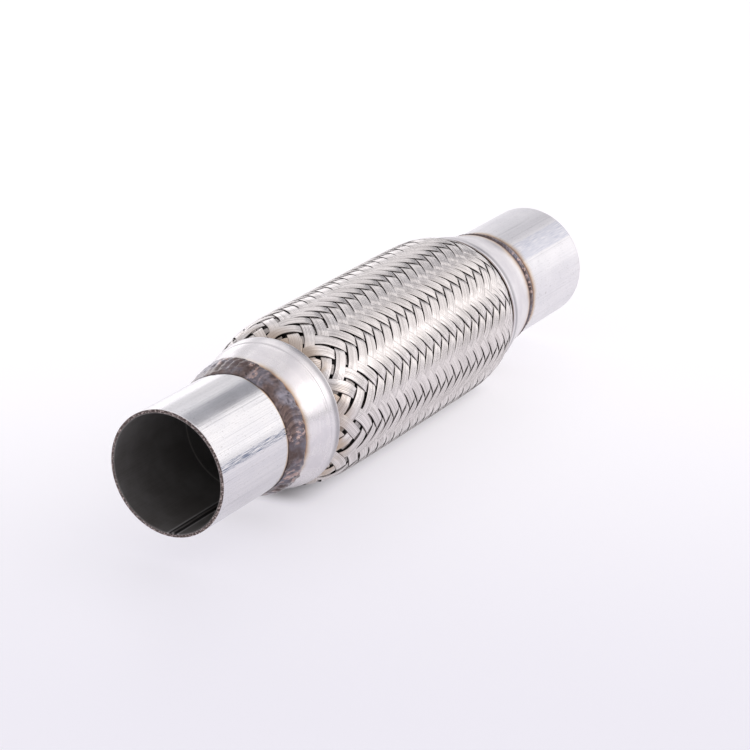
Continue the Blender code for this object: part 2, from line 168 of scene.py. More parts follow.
class Bench:
    """Modelling steps done by operator, as by hand, on one piece at a time."""

    @staticmethod
    def clear() -> None:
        """Leave edit mode and let go of everything."""
        if bpy.context.object is not None and bpy.context.object.mode != "OBJECT":
            bpy.ops.object.mode_set(mode="OBJECT")
        bpy.ops.object.select_all(action="DESELECT")

    @staticmethod
    def take(*pieces: bpy.types.Object) -> None:
        """Select only these pieces and work on the first.

        Args:
            *pieces: The pieces.
        """
        Bench.clear()
        for piece in pieces:
            piece.select_set(True)
        bpy.context.view_layer.objects.active = pieces[0]

    @staticmethod
    @contextmanager
    def editing() -> Iterator[None]:
        """Work in edit mode, with every point selected at first.

        Returns:
            A context that lasts until the editing is done.
        """
        bpy.ops.object.mode_set(mode="EDIT")
        bpy.ops.mesh.select_all(action="SELECT")
        yield
        bpy.ops.object.mode_set(mode="OBJECT")

    @staticmethod
    def name_new(name: str) -> bpy.types.Object:
        """Name the piece that an operator has just added.

        Args:
            name: The piece's name.

        Returns:
            The piece.
        """
        piece = bpy.context.object
        piece.name = name
        piece.data.name = name
        return piece

    @staticmethod
    def turn(name: str, outline: Outline, steps: int) -> bpy.types.Object:
        """Turn a closed outline round the pipe's axis, one drawn ring after another.

        Args:
            name: The piece's name.
            outline: (radius, height) points once round the section.
            steps: Points in each ring.

        Returns:
            A closed piece with its faces outwards.
        """
        Bench.clear()
        radius, height = outline[0]
        bpy.ops.mesh.primitive_circle_add(vertices=steps, radius=radius,
                                          location=(0.0, 0.0, height))
        piece = Bench.name_new(name)
        bpy.ops.object.transform_apply(location=True, rotation=True, scale=True)
        with Bench.editing():
            for (radius, height), (next_radius, next_height) in pairwise(outline + outline[:1]):
                rise = (0.0, 0.0, next_height - height)
                growth = next_radius / radius
                bpy.ops.mesh.extrude_region_move(TRANSFORM_OT_translate={"value": rise})
                bpy.ops.transform.resize(value=(growth, growth, 1.0),
                                         center_override=(0.0, 0.0, next_height))
            bpy.ops.mesh.select_all(action="SELECT")
            bpy.ops.mesh.remove_doubles(threshold=0.000002)
            bpy.ops.mesh.normals_make_consistent(inside=False)
        return piece

    @staticmethod
    def points(piece: bpy.types.Object) -> np.ndarray:
        """Return a piece's points.

        Args:
            piece: The piece.

        Returns:
            Rows of x, y and z.
        """
        flat = np.empty(len(piece.data.vertices) * 3)
        piece.data.vertices.foreach_get("co", flat)
        return flat.reshape(-1, 3)

    @staticmethod
    def edge_ends(piece: bpy.types.Object) -> tuple[np.ndarray, np.ndarray]:
        """Return the numbers of the points at both ends of a piece's edges.

        Args:
            piece: The piece.

        Returns:
            The first ends and the second ends.
        """
        ends = np.empty(len(piece.data.edges) * 2, int)
        piece.data.edges.foreach_get("vertices", ends)
        return ends[::2], ends[1::2]

    @staticmethod
    def put_points(piece: bpy.types.Object, points: np.ndarray) -> None:
        """Move a piece's points to new places."""
        piece.data.vertices.foreach_set("co", points.ravel())
        piece.data.update()

    @staticmethod
    def shape(piece: bpy.types.Object, push: Push) -> None:
        """Push a turned piece's points in or out and along the pipe.

        Args:
            piece: The piece, with its axis on Z.
            push: Takes angles, radii and heights and returns new radii and heights.
        """
        points = Bench.points(piece)
        angles = np.arctan2(points[:, 1], points[:, 0])
        radii = np.hypot(points[:, 0], points[:, 1])
        new_radii, new_heights = push(angles, radii, points[:, 2])
        moved = np.stack((new_radii * np.cos(angles), new_radii * np.sin(angles), new_heights), 1)
        Bench.put_points(piece, moved)

    @staticmethod
    def smooth(piece: bpy.types.Object, sharp_angle: float) -> None:
        """Shade a piece smooth, with edges over an angle in degrees kept sharp."""
        Bench.take(piece)
        bpy.ops.object.shade_smooth_by_angle(angle=math.radians(sharp_angle))

    @staticmethod
    def fit(piece: bpy.types.Object, slot: str, *nodes: str) -> None:
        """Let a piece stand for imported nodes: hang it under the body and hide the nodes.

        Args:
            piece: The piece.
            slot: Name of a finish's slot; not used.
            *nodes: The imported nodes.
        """
        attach(piece, BODY)
        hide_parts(*nodes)
        log.info("%s: %d points, %d faces", piece.name, len(piece.data.vertices),
                 len(piece.data.polygons))


@dataclass(frozen=True)
class Waves:
    """Uneven handwork: a few smooth waves of chance size that close on themselves.

    Args:
        seed: Number that picks the waves.
        slowest: Waves in one turn of the slowest one.
        fastest: Waves in one turn of the fastest one.
        count: Waves that are added up.
    """

    seed: int
    slowest: int
    fastest: int
    count: int = 8

    def __call__(self, angles: np.ndarray) -> np.ndarray:
        """Return the waves' height.

        Args:
            angles: Angles in radians.

        Returns:
            Values of about -1 to 1.
        """
        chance = np.random.default_rng(self.seed)
        turns = chance.integers(self.slowest, self.fastest + 1, self.count)
        starts = chance.uniform(0.0, 2.0 * math.pi, self.count)
        sizes = chance.uniform(0.4, 1.0, self.count)
        total = sum(size * np.sin(turn * angles + start)
                    for turn, start, size in zip(turns, starts, sizes))
        return total / math.sqrt(self.count)


class Wiring:
    """Adds shader nodes to one tree and joins their sockets."""

    def __init__(self, tree: bpy.types.NodeTree) -> None:
        """Work on one node tree."""
        self.tree = tree

    def add(self, kind: str, **settings: object) -> bpy.types.Node:
        """Add a node of a kind and set its properties.

        Args:
            kind: The node's type name.
            **settings: Properties of the node.

        Returns:
            The node.
        """
        node = self.tree.nodes.new(kind)
        for name, value in settings.items():
            setattr(node, name, value)
        return node

    def feed(self, socket: Socket, value: Operand | Colour) -> None:
        """Join a socket to another or set it to a number or a colour.

        Args:
            socket: The input.
            value: What it gets.
        """
        if isinstance(value, bpy.types.NodeSocket):
            self.tree.links.new(value, socket)
        elif isinstance(value, tuple) and len(value) == 3 and socket.type == "RGBA":
            socket.default_value = (*value, 1.0)
        else:
            socket.default_value = value

    def math(self, operation: str, first: Operand, second: Operand = 0.0,
             third: Operand = 0.0, clamp: bool = False) -> Socket:
        """Join values by one arithmetic step.

        Args:
            operation: Name of the step.
            first: First value.
            second: Second value.
            third: Third value.
            clamp: Whether the result is kept between 0 and 1.

        Returns:
            The result.
        """
        node = self.add("ShaderNodeMath", operation=operation, use_clamp=clamp)
        for socket, value in zip(node.inputs, (first, second, third)):
            self.feed(socket, value)
        return node.outputs[0]

    def times(self, first: Operand, second: Operand, clamp: bool = False) -> Socket:
        """Multiply two values."""
        return self.math("MULTIPLY", first, second, clamp=clamp)

    def times_plus(self, first: Operand, second: Operand, third: Operand,
                   clamp: bool = False) -> Socket:
        """Multiply two values and add a third."""
        return self.math("MULTIPLY_ADD", first, second, third, clamp)

    def apart(self, first: Operand, second: Operand) -> Socket:
        """Return how far two values are apart."""
        return self.math("ABSOLUTE", self.math("SUBTRACT", first, second))

    def fade(self, value: Operand, start: Operand, end: Operand, low: Operand = 0.0,
             high: Operand = 1.0) -> Socket:
        """Fade smoothly from low to high while a value goes from start to end.

        Args:
            value: The value that leads the fade.
            start: Where the fade starts.
            end: Where it ends.
            low: Result before the start.
            high: Result after the end.

        Returns:
            The faded value.
        """
        node = self.add("ShaderNodeMapRange", interpolation_type="SMOOTHSTEP")
        for socket, part in zip(node.inputs, (value, start, end, low, high)):
            self.feed(socket, part)
        return node.outputs[0]

    def fall(self, value: Operand, start: Operand, end: Operand, high: float = 1.0) -> Socket:
        """Fade smoothly from high to 0 while a value goes from start to end."""
        return self.fade(value, start, end, high, 0.0)

    def stripe(self, value: Operand, rise: tuple[float, float], fall: tuple[float, float],
               height: float) -> Socket:
        """Fade up over one stretch of a value and down again over another.

        Args:
            value: The value that leads the fades.
            rise: Where the stripe starts and is full.
            fall: Where it begins to fall and ends.
            height: Value of the full stripe.

        Returns:
            The stripe's mask.
        """
        return self.times(self.fade(value, *rise, 0.0, height), self.fall(value, *fall))

    def blend(self, amount: Operand, under: Operand | Colour, over: Operand | Colour,
              mode: str = "MIX") -> Socket:
        """Lay one colour over another.

        Args:
            amount: Share of the upper colour.
            under: The lower colour.
            over: The upper colour.
            mode: Blend mode.

        Returns:
            The mixed colour.
        """
        node = self.add("ShaderNodeMix", data_type="RGBA", blend_type=mode, clamp_factor=True)
        self.feed(node.inputs["Factor"], amount)
        colours = [socket for socket in node.inputs if socket.type == "RGBA"]
        self.feed(colours[0], under)
        self.feed(colours[1], over)
        return next(socket for socket in node.outputs if socket.type == "RGBA")

    def wash(self, under: Operand | Colour, mask: Operand, share: float, tone: Colour) -> Socket:
        """Lay a tone over a colour where a mask shows, up to a share."""
        return self.blend(self.times(mask, share), under, tone)

    def ramp(self, value: Operand, *stops: tuple[float, Colour]) -> Socket:
        """Look a value up in a row of colours.

        Args:
            value: Place in the row, from 0 to 1.
            *stops: Places and their colours, in rising order.

        Returns:
            The colour.
        """
        node = self.add("ShaderNodeValToRGB")
        bands = node.color_ramp.elements
        while len(bands) < len(stops):
            bands.new(1.0)
        for band, (place, colour) in zip(bands, stops):
            band.position = place
            band.color = (*colour, 1.0)
        self.feed(node.inputs["Fac"], value)
        return node.outputs["Color"]

    @property
    def object_place(self) -> Socket:
        """A point's own place, as a vector."""
        return self.add("ShaderNodeTexCoord").outputs["Object"]

    def split(self, vector: Socket) -> Point:
        """Return a vector's x, y and z.

        Args:
            vector: The vector.

        Returns:
            Its three parts.
        """
        parts = self.add("ShaderNodeSeparateXYZ")
        self.feed(parts.inputs[0], vector)
        return parts.outputs["X"], parts.outputs["Y"], parts.outputs["Z"]

    def spot(self, x: Operand, y: Operand, z: Operand) -> Socket:
        """Join three values to a vector.

        Args:
            x: First value.
            y: Second value.
            z: Third value.

        Returns:
            The vector.
        """
        node = self.add("ShaderNodeCombineXYZ")
        for socket, value in zip(node.inputs, (x, y, z)):
            self.feed(socket, value)
        return node.outputs[0]

    def stretched(self, point: Point, across: Operand, along: Operand) -> Socket:
        """Return a point's vector with its x and y scaled by one number and its z by another."""
        x, y, z = point
        return self.spot(self.times(x, across), self.times(y, across), self.times(z, along))

    def turned(self, point: Point, angle: float) -> tuple[Socket, Socket]:
        """Measure a point from the pipe's axis, seen towards an angle round Z.

        Args:
            point: The point.
            angle: The angle in radians.

        Returns:
            How far it lies towards the angle, and how far beside it.
        """
        x, y, _ = point
        sine, cosine = math.sin(angle), math.cos(angle)
        facing = self.times_plus(x, cosine, self.times(y, sine))
        return facing, self.times_plus(x, -sine, self.times(y, cosine))

    def noise(self, spot: Socket, scale: Operand, detail: float = 2.0,
              roughness: float = 0.5) -> Socket:
        """Return cloudy noise of 0 to 1 at a spot.

        Args:
            spot: Where to look it up.
            scale: Clouds per metre.
            detail: Finer layers that are added.
            roughness: Weight of the finer layers.

        Returns:
            The noise.
        """
        node = self.add("ShaderNodeTexNoise")
        self.feed(node.inputs["Vector"], spot)
        self.feed(node.inputs["Scale"], scale)
        self.feed(node.inputs["Detail"], detail)
        self.feed(node.inputs["Roughness"], roughness)
        return node.outputs["Fac"]


class Effects:
    """Surface effects that several finishes use, each a node group built once."""

    _built: dict[str, bpy.types.NodeTree] = {}

    @classmethod
    def _start(cls, name: str, inputs: dict[str, float],
               outputs: dict[str, str]) -> tuple[Wiring, bpy.types.Node, bpy.types.Node]:
        """Start a group with named sockets.

        Args:
            name: The group's name.
            inputs: Number inputs and their values.
            outputs: Outputs and their kinds.

        Returns:
            The group's wiring, its input node and its output node.
        """
        tree = bpy.data.node_groups.new(name, "ShaderNodeTree")
        for label, value in inputs.items():
            socket = tree.interface.new_socket(label, in_out="INPUT",
                                               socket_type="NodeSocketFloat")
            socket.default_value = value
        for label, kind in outputs.items():
            tree.interface.new_socket(label, in_out="OUTPUT", socket_type=kind)
        wiring = Wiring(tree)
        cls._built[name] = tree
        return wiring, wiring.add("NodeGroupInput"), wiring.add("NodeGroupOutput")

    @classmethod
    def use(cls, wiring: Wiring, name: str, **values: Operand) -> bpy.types.Node:
        """Place an effect in a finish.

        Args:
            wiring: The finish's wiring.
            name: The effect's name, which is also the name of the method that builds it.
            **values: Inputs to set, with underscores for spaces.

        Returns:
            The group node.
        """
        if name not in cls._built:
            getattr(cls, name)()
        node = wiring.add("ShaderNodeGroup", node_tree=cls._built[name])
        for label, value in values.items():
            wiring.feed(node.inputs[label.replace("_", " ").capitalize()], value)
        return node

    @classmethod
    def fine_lines(cls) -> None:
        """Build fine parallel lines, lengthwise or round the pipe."""
        wiring, given, result = cls._start(
            "fine_lines",
            {"Across": 2600.0, "Along": 16.0, "Broad": 0.35},
            {"Lines": "NodeSocketFloat"},
        )
        point = wiring.split(wiring.object_place)
        spot = wiring.stretched(point, given.outputs["Across"], given.outputs["Along"])
        fine = wiring.noise(spot, 1.0, detail=4.0, roughness=0.65)
        broad = wiring.noise(spot, 0.16, detail=3.0, roughness=0.6)
        mixed = wiring.times_plus(wiring.math("SUBTRACT", broad, fine), given.outputs["Broad"],
                                  fine)
        wiring.feed(result.inputs["Lines"], wiring.fade(mixed, 0.30, 0.70))

    @classmethod
    def smudges(cls) -> None:
        """Build soft blotches, as of oil, handling and uneven polishing."""
        wiring, given, result = cls._start(
            "smudges", {"Size": 0.012}, {"Mask": "NodeSocketFloat", "Specks": "NodeSocketFloat"})
        spot = wiring.object_place
        scale = wiring.math("DIVIDE", 1.0, given.outputs["Size"])
        cloud = wiring.noise(spot, scale, detail=5.0, roughness=0.62)
        wiring.feed(result.inputs["Mask"], wiring.fade(cloud, 0.36, 0.66))
        grain = wiring.noise(spot, wiring.times(scale, 28.0))
        wiring.feed(result.inputs["Specks"], wiring.fade(grain, 0.62, 0.73))

    @classmethod
    def heat_tint(cls) -> None:
        """Build the straw and brown bands that welding leaves beside a bead."""
        wiring, given, result = cls._start(
            "heat_tint",
            {"Weld height": 0.0, "Side": 1.0, "Reach": 0.006},
            {"Colour": "NodeSocketColor", "Amount": "NodeSocketFloat"},
        )
        point = wiring.split(wiring.object_place)
        wobble = wiring.noise(wiring.stretched(point, 1.0, 0.3), 90.0, detail=3.0, roughness=0.55)
        above = wiring.math("SUBTRACT", point[2], given.outputs["Weld height"])
        away = wiring.times(above, given.outputs["Side"])
        reach = wiring.times(given.outputs["Reach"], wiring.times_plus(wobble, 1.6, 0.2))
        share = wiring.math("DIVIDE", away, reach, clamp=True)
        wiring.feed(result.inputs["Colour"], wiring.ramp(
            share, (0.0, (0.16, 0.10, 0.08)), (0.10, (0.33, 0.19, 0.12)),
            (0.24, (0.62, 0.42, 0.26)), (0.50, (0.80, 0.66, 0.48)), (1.0, (0.86, 0.80, 0.74))))
        wiring.feed(result.inputs["Amount"], wiring.fall(share, 0.0, 1.0))


class Finish:
    """A material made for one piece: a metal surface that its nodes vary."""

    def __init__(self, name: str, metallic: float) -> None:
        """Start the material.

        Args:
            name: The material's name.
            metallic: Metallic share, the same all over.
        """
        self.material = bpy.data.materials.new(name)
        self.material.use_nodes = True
        self.wiring = Wiring(self.material.node_tree)
        self.shader = self.material.node_tree.nodes["Principled BSDF"]
        self.shader.inputs["Metallic"].default_value = metallic

    def colour(self, value: Operand | Colour) -> None:
        """Set or join the base colour."""
        self.wiring.feed(self.shader.inputs["Base Color"], value)

    def roughness(self, value: Operand) -> None:
        """Set or join the roughness."""
        self.wiring.feed(self.shader.inputs["Roughness"], value)

    def relief(self, height: Socket, depth: float, strength: float) -> None:
        """Raise the surface in the shader.

        Args:
            height: Height as a share of the depth.
            depth: Depth of the relief in metres.
            strength: How strongly it shows.
        """
        bump = self.wiring.add("ShaderNodeBump")
        values = {"Height": height, "Distance": depth, "Strength": strength}
        for label, value in values.items():
            self.wiring.feed(bump.inputs[label], value)
        self.wiring.feed(self.shader.inputs["Normal"], bump.outputs["Normal"])

    def heat_tinted(self, colour: Socket, weld_height: float, side: float,
                    reach: float) -> Socket:
        """Tint a colour beside a weld.

        Args:
            colour: The colour.
            weld_height: Height of the weld's edge on Z.
            side: 1 if the metal lies above the weld, else -1.
            reach: How far the tint reaches.

        Returns:
            The tinted colour.
        """
        tint = Effects.use(self.wiring, "heat_tint", weld_height=weld_height, side=side,
                           reach=reach)
        return self.wiring.blend(tint.outputs["Amount"], colour, tint.outputs["Colour"],
                                 "MULTIPLY")

    def put_on(self, piece: bpy.types.Object) -> None:
        """Give the whole piece this material."""
        piece.data.materials.clear()
        piece.data.materials.append(self.material)


@dataclass(frozen=True)
class PipeLook:
    """What differs between the steel of the two end pipes.

    Args:
        pale: Colour of the clean steel.
        line_share: Strength of the lengthwise lines.
        dulling: Roughness that is added all over.
        tint_reach: How far the weld's heat has tinted the tube.
        seam: Colour of the ground seam.
        seam_angle: Angle of the ground seam round Z, in degrees.
        seam_width: Width of the ground seam.
        seam_softness: How softly its grinding lines fade.
        bore_seam_angle: Angle of the seam in the bore round Z, in degrees.
    """

    pale: Colour
    line_share: float
    dulling: float
    tint_reach: float
    seam: Colour
    seam_angle: float
    seam_width: float
    seam_softness: float
    bore_seam_angle: float


@dataclass(frozen=True)
class DrawnSteel:
    """Bright drawn tube with lengthwise lines, a ground seam and a scaled bore.

    Args:
        name: The material's name.
        look: What this pipe's steel has of its own.
        outer_radius: Outer radius of the tube.
        wall: Wall of the tube.
        cut_height: Height of the cut face on Z.
        weld_height: Height of the weld's toe on Z.
        inward: 1 if the pipe runs up from its cut face, else -1.
        shade: Colour of the steel's darker lines.
        blotch: Colour of its blotches.
        speck: Colour of its specks.
        scratch: Colour of its scratches.
        scale: Colour of the scaled bore.
        rubbed: Colour of the bore's blotches.
        bore_line: Colour of the bore's lines.
        ring: Colour of a pale ring painted in the bore as a highlight.
        highlight_ring_depth: How deep in the bore that painted highlight lies.
        raggedness: How far the edges of the ground seam stray.
        cut: Colour of the cut face.
        cut_glint: Colour of the cut face's glints.
        seam_edge_highlight: Colour of the pale lines beside the seam in the bore, partly its metal
            and partly painted highlight.
        seam_groove_shade: Colour of the dark band along that seam, partly its own colour and
            partly painted shade.
    """

    name: str
    look: PipeLook
    outer_radius: float
    wall: float
    cut_height: float
    weld_height: float
    inward: float
    shade: Colour = (0.62, 0.61, 0.64)
    blotch: Colour = (0.66, 0.655, 0.69)
    speck: Colour = (0.40, 0.37, 0.37)
    scratch: Colour = (0.30, 0.30, 0.33)
    scale: Colour = (0.115, 0.105, 0.098)
    rubbed: Colour = (0.17, 0.162, 0.155)
    bore_line: Colour = (0.24, 0.235, 0.235)
    ring: Colour = (0.50, 0.48, 0.46)
    highlight_ring_depth: float = 0.0484
    raggedness: float = 0.0016
    cut: Colour = (0.105, 0.082, 0.076)
    cut_glint: Colour = (0.52, 0.44, 0.41)
    seam_edge_highlight: Colour = (0.42, 0.41, 0.41)
    seam_groove_shade: Colour = (0.008, 0.007, 0.007)

    def build(self) -> Finish:
        """Build the finish.

        Returns:
            The finish, ready to put on the pipe.
        """
        finish = Finish(self.name, 1.0)
        wiring = finish.wiring
        point = wiring.split(wiring.object_place)
        x, y, z = point
        radius = wiring.math("SQRT", wiring.times_plus(x, x, wiring.times(y, y)))
        lines = Effects.use(wiring, "fine_lines", across=2400.0, along=14.0).outputs["Lines"]
        lines = wiring.times(lines, self.look.line_share)
        marks = Effects.use(wiring, "smudges", size=0.016)
        blotch = marks.outputs["Mask"]
        band, band_lines = self._ground_seam(wiring, point)
        from_cut = wiring.apart(z, self.cut_height)
        on_cut = wiring.fall(from_cut, 0.00012, 0.00045)
        bore = wiring.fall(radius, self.outer_radius - self.wall * 0.95,
                           self.outer_radius - self.wall * 0.6)
        colour = wiring.blend(lines, self.look.pale, self.shade)
        colour = wiring.wash(colour, blotch, 0.35, self.blotch)
        colour = wiring.wash(colour, marks.outputs["Specks"], 0.70, self.speck)
        colour = wiring.blend(self._scratches(wiring, point), colour, self.scratch)
        ground = wiring.blend(band_lines, self.look.seam, self.look.pale)
        colour = wiring.blend(wiring.times(band, 0.95), colour, ground)
        colour = finish.heat_tinted(colour, self.weld_height, -self.inward, self.look.tint_reach)
        grit = wiring.noise(wiring.spot(*point), 1300.0, roughness=0.6)
        cut = wiring.blend(wiring.fade(grit, 0.50, 0.62), self.cut, self.cut_glint)
        colour = wiring.blend(on_cut, colour, cut)
        inside = wiring.blend(blotch, self.scale, self.rubbed)
        inside = wiring.wash(inside, lines, 0.4, self.bore_line)
        # Painted highlight: a pale ring round the bore at one depth.
        from_highlight_ring = wiring.apart(from_cut, self.highlight_ring_depth)
        inside = wiring.blend(wiring.fall(from_highlight_ring, 0.00015, 0.0007, 0.55), inside, self.ring)
        colour = wiring.blend(bore, colour, self._bore_seam(wiring, point, inside))
        finish.colour(colour)
        polish = wiring.times_plus(lines, 0.08, 0.15 + self.look.dulling)
        for mask, share in ((blotch, 0.05), (band, 0.10), (bore, 0.25), (on_cut, 0.15)):
            polish = wiring.times_plus(mask, share, polish)
        finish.roughness(polish)
        wiring.feed(finish.shader.inputs["Metallic"],
                    wiring.times_plus(bore, -0.85, 1.0, clamp=True))
        height = wiring.times_plus(band, wiring.times(band_lines, 1.2), lines)
        finish.relief(height, depth=0.00003, strength=0.35)
        return finish

    def _scratches(self, wiring: Wiring, point: Point) -> Socket:
        """Mask a few long scratches that the drawing die left."""
        streaks = wiring.noise(wiring.stretched(point, 1300.0, 11.0), 1.0)
        return wiring.fade(streaks, 0.63, 0.70, 0.0, 0.38 * self.look.line_share)

    def _ground_seam(self, wiring: Wiring, point: Point) -> tuple[Socket, Socket]:
        """Mask the band that was ground flat over the tube's own seam.

        Args:
            wiring: The finish's wiring.
            point: A point's own place.

        Returns:
            The band's mask and the grinding lines in it.
        """
        facing, aside = wiring.turned(point, math.radians(self.look.seam_angle))
        ragged = wiring.noise(wiring.spot(0.0, 0.0, point[2]), 420.0, detail=4.0, roughness=0.7)
        edge = wiring.times_plus(ragged, self.raggedness,
                                 0.5 * (self.look.seam_width - self.raggedness))
        past_edge = wiring.math("SUBTRACT", wiring.math("ABSOLUTE", aside), edge)
        band = wiring.times(wiring.fall(past_edge, -0.0002, 0.0003),
                            wiring.math("GREATER_THAN", facing, 0.0))
        grit = wiring.noise(wiring.spot(wiring.times(aside, 3.2), 0.0,
                                        wiring.times(point[2], 0.09)), 1500.0)
        softness = self.look.seam_softness
        return band, wiring.fade(grit, 0.5 - softness, 0.5 + softness)

    def _bore_seam(self, wiring: Wiring, point: Point, inside: Socket) -> Socket:
        """Draw the scraped weld seam along the bore, dark between two pale lines: partly its own
        colour, partly painted shade and painted highlight for its relief.

        Args:
            wiring: The finish's wiring.
            point: A point's own place.
            inside: Colour of the bore.

        Returns:
            The colour with the seam.
        """
        facing, aside = wiring.turned(point, math.radians(self.look.bore_seam_angle))
        near = wiring.math("GREATER_THAN", facing, 0.0)
        away = wiring.math("ABSOLUTE", aside)
        # Painted highlight and painted shade, partly the seam's own colour: pale lines beside the
        # seam, a dark band along it.
        edge = wiring.stripe(away, (0.0018, 0.0022), (0.0024, 0.0030), 0.9)
        groove = wiring.stripe(away, (0.0004, 0.0007), (0.0015, 0.0019), 0.95)
        inside = wiring.blend(wiring.times(near, edge), inside, self.seam_edge_highlight)
        return wiring.blend(wiring.times(near, groove), inside, self.seam_groove_shade)


@dataclass(frozen=True)
class SpunSteel:
    """Satin sheet steel spun on a former, with faint lines round it and a dark reflection painted
    beside the rim.

    Args:
        name: The material's name.
        weld_height: Height of the weld's heel on Z.
        rim_height: Height of the cap's rim on Z.
        inward: 1 if the cap widens upwards, else -1.
        dulling: Roughness that is added all over.
        tint_reach: How far the weld's heat has tinted the sheet.
        lip_shade: Width of the dark reflection painted beside the rim.
        dark_reflection_side: Angle of the side on which that painted reflection is darkest, in
            degrees.
        pale: Colour of the clean sheet.
        shade: Colour of its darker lines.
        blotch: Colour of its blotches.
        speck: Colour of its specks.
        dull: Colour of the dark reflection painted beside the rim.
    """

    name: str
    weld_height: float
    rim_height: float
    inward: float
    dulling: float
    tint_reach: float = 0.0046
    lip_shade: float = 0.0020
    dark_reflection_side: float = -156.0
    pale: Colour = (0.79, 0.76, 0.765)
    shade: Colour = (0.66, 0.645, 0.67)
    blotch: Colour = (0.66, 0.635, 0.665)
    speck: Colour = (0.42, 0.36, 0.34)
    dull: Colour = (0.30, 0.29, 0.31)

    def build(self) -> Finish:
        """Build the finish.

        Returns:
            The finish, ready to put on the cap.
        """
        finish = Finish(self.name, 1.0)
        wiring = finish.wiring
        lines = Effects.use(wiring, "fine_lines", across=24.0, along=3400.0,
                            broad=0.3).outputs["Lines"]
        marks = Effects.use(wiring, "smudges", size=0.009)
        blotch = marks.outputs["Mask"]
        colour = wiring.wash(self.pale, lines, 0.6, self.shade)
        colour = wiring.wash(colour, blotch, 0.60, self.blotch)
        colour = wiring.wash(colour, marks.outputs["Specks"], 0.30, self.speck)
        colour = finish.heat_tinted(colour, self.weld_height, self.inward, self.tint_reach)
        # Painted reflection: a dark band beside the rim, darkest on one side.
        finish.colour(wiring.blend(self._dark_reflection_band(wiring), colour, self.dull))
        polish = wiring.times_plus(lines, 0.05, 0.17 + self.dulling)
        finish.roughness(wiring.times_plus(blotch, 0.08, polish))
        finish.relief(lines, depth=0.00002, strength=0.25)
        return finish

    def _dark_reflection_band(self, wiring: Wiring) -> Socket:
        """Mask the dark reflection painted beside the rim, which shows most on one side.

        Args:
            wiring: The finish's wiring.

        Returns:
            The mask.
        """
        point = wiring.split(wiring.object_place)
        from_rim = wiring.apart(point[2], self.rim_height)
        lip = wiring.times(wiring.fade(from_rim, 0.0006, 0.0011),
                           wiring.fall(from_rim, self.lip_shade, self.lip_shade + 0.0022, 0.75))
        facing = wiring.turned(point, math.radians(self.dark_reflection_side))[0]
        return wiring.times(lip, wiring.fade(facing, 0.012, 0.028, 0.25, 1.0))


@dataclass(frozen=True)
class WeldMetal:
    """Dark oxidised weld metal with coppery and grey-blue glints.

    Args:
        name: The material's name.
        dark: Colour of the oxide.
        slate: Grey-blue of the thinner oxide.
        copper: Pinkish copper on the ripples, partly oxide tint and partly painted glints.
        soot: Colour of its sooty blotches.
    """

    name: str
    dark: Colour = (0.105, 0.076, 0.074)
    slate: Colour = (0.19, 0.18, 0.215)
    copper: Colour = (0.66, 0.47, 0.42)
    soot: Colour = (0.11, 0.075, 0.065)

    def build(self) -> Finish:
        """Build the finish.

        Returns:
            The finish, ready to put on the bead.
        """
        finish = Finish(self.name, 0.9)
        wiring = finish.wiring
        point = wiring.split(wiring.object_place)
        spot = wiring.spot(*point)
        cloud = wiring.noise(spot, 110.0, detail=3.0)
        glint = wiring.noise(wiring.stretched(point, 1.7, 0.75), 380.0, roughness=0.55)
        patch = wiring.fade(wiring.noise(spot, 75.0, detail=1.0), 0.48, 0.60, 0.06, 0.64)
        # Painted glints, partly copper oxide: pinkish copper in patches of stretched noise.
        clean = wiring.times(wiring.fade(glint, 0.50, 0.60), patch)
        blotch = Effects.use(wiring, "smudges", size=0.006).outputs["Mask"]
        colour = wiring.blend(wiring.fade(cloud, 0.40, 0.62), self.dark, self.slate)
        colour = wiring.blend(clean, colour, self.copper)
        finish.colour(wiring.wash(colour, blotch, 0.35, self.soot))
        finish.roughness(wiring.fade(cloud, 0.3, 0.7, 0.24, 0.12))
        finish.relief(wiring.times_plus(glint, 0.45, cloud), depth=0.00035, strength=0.35)
        return finish


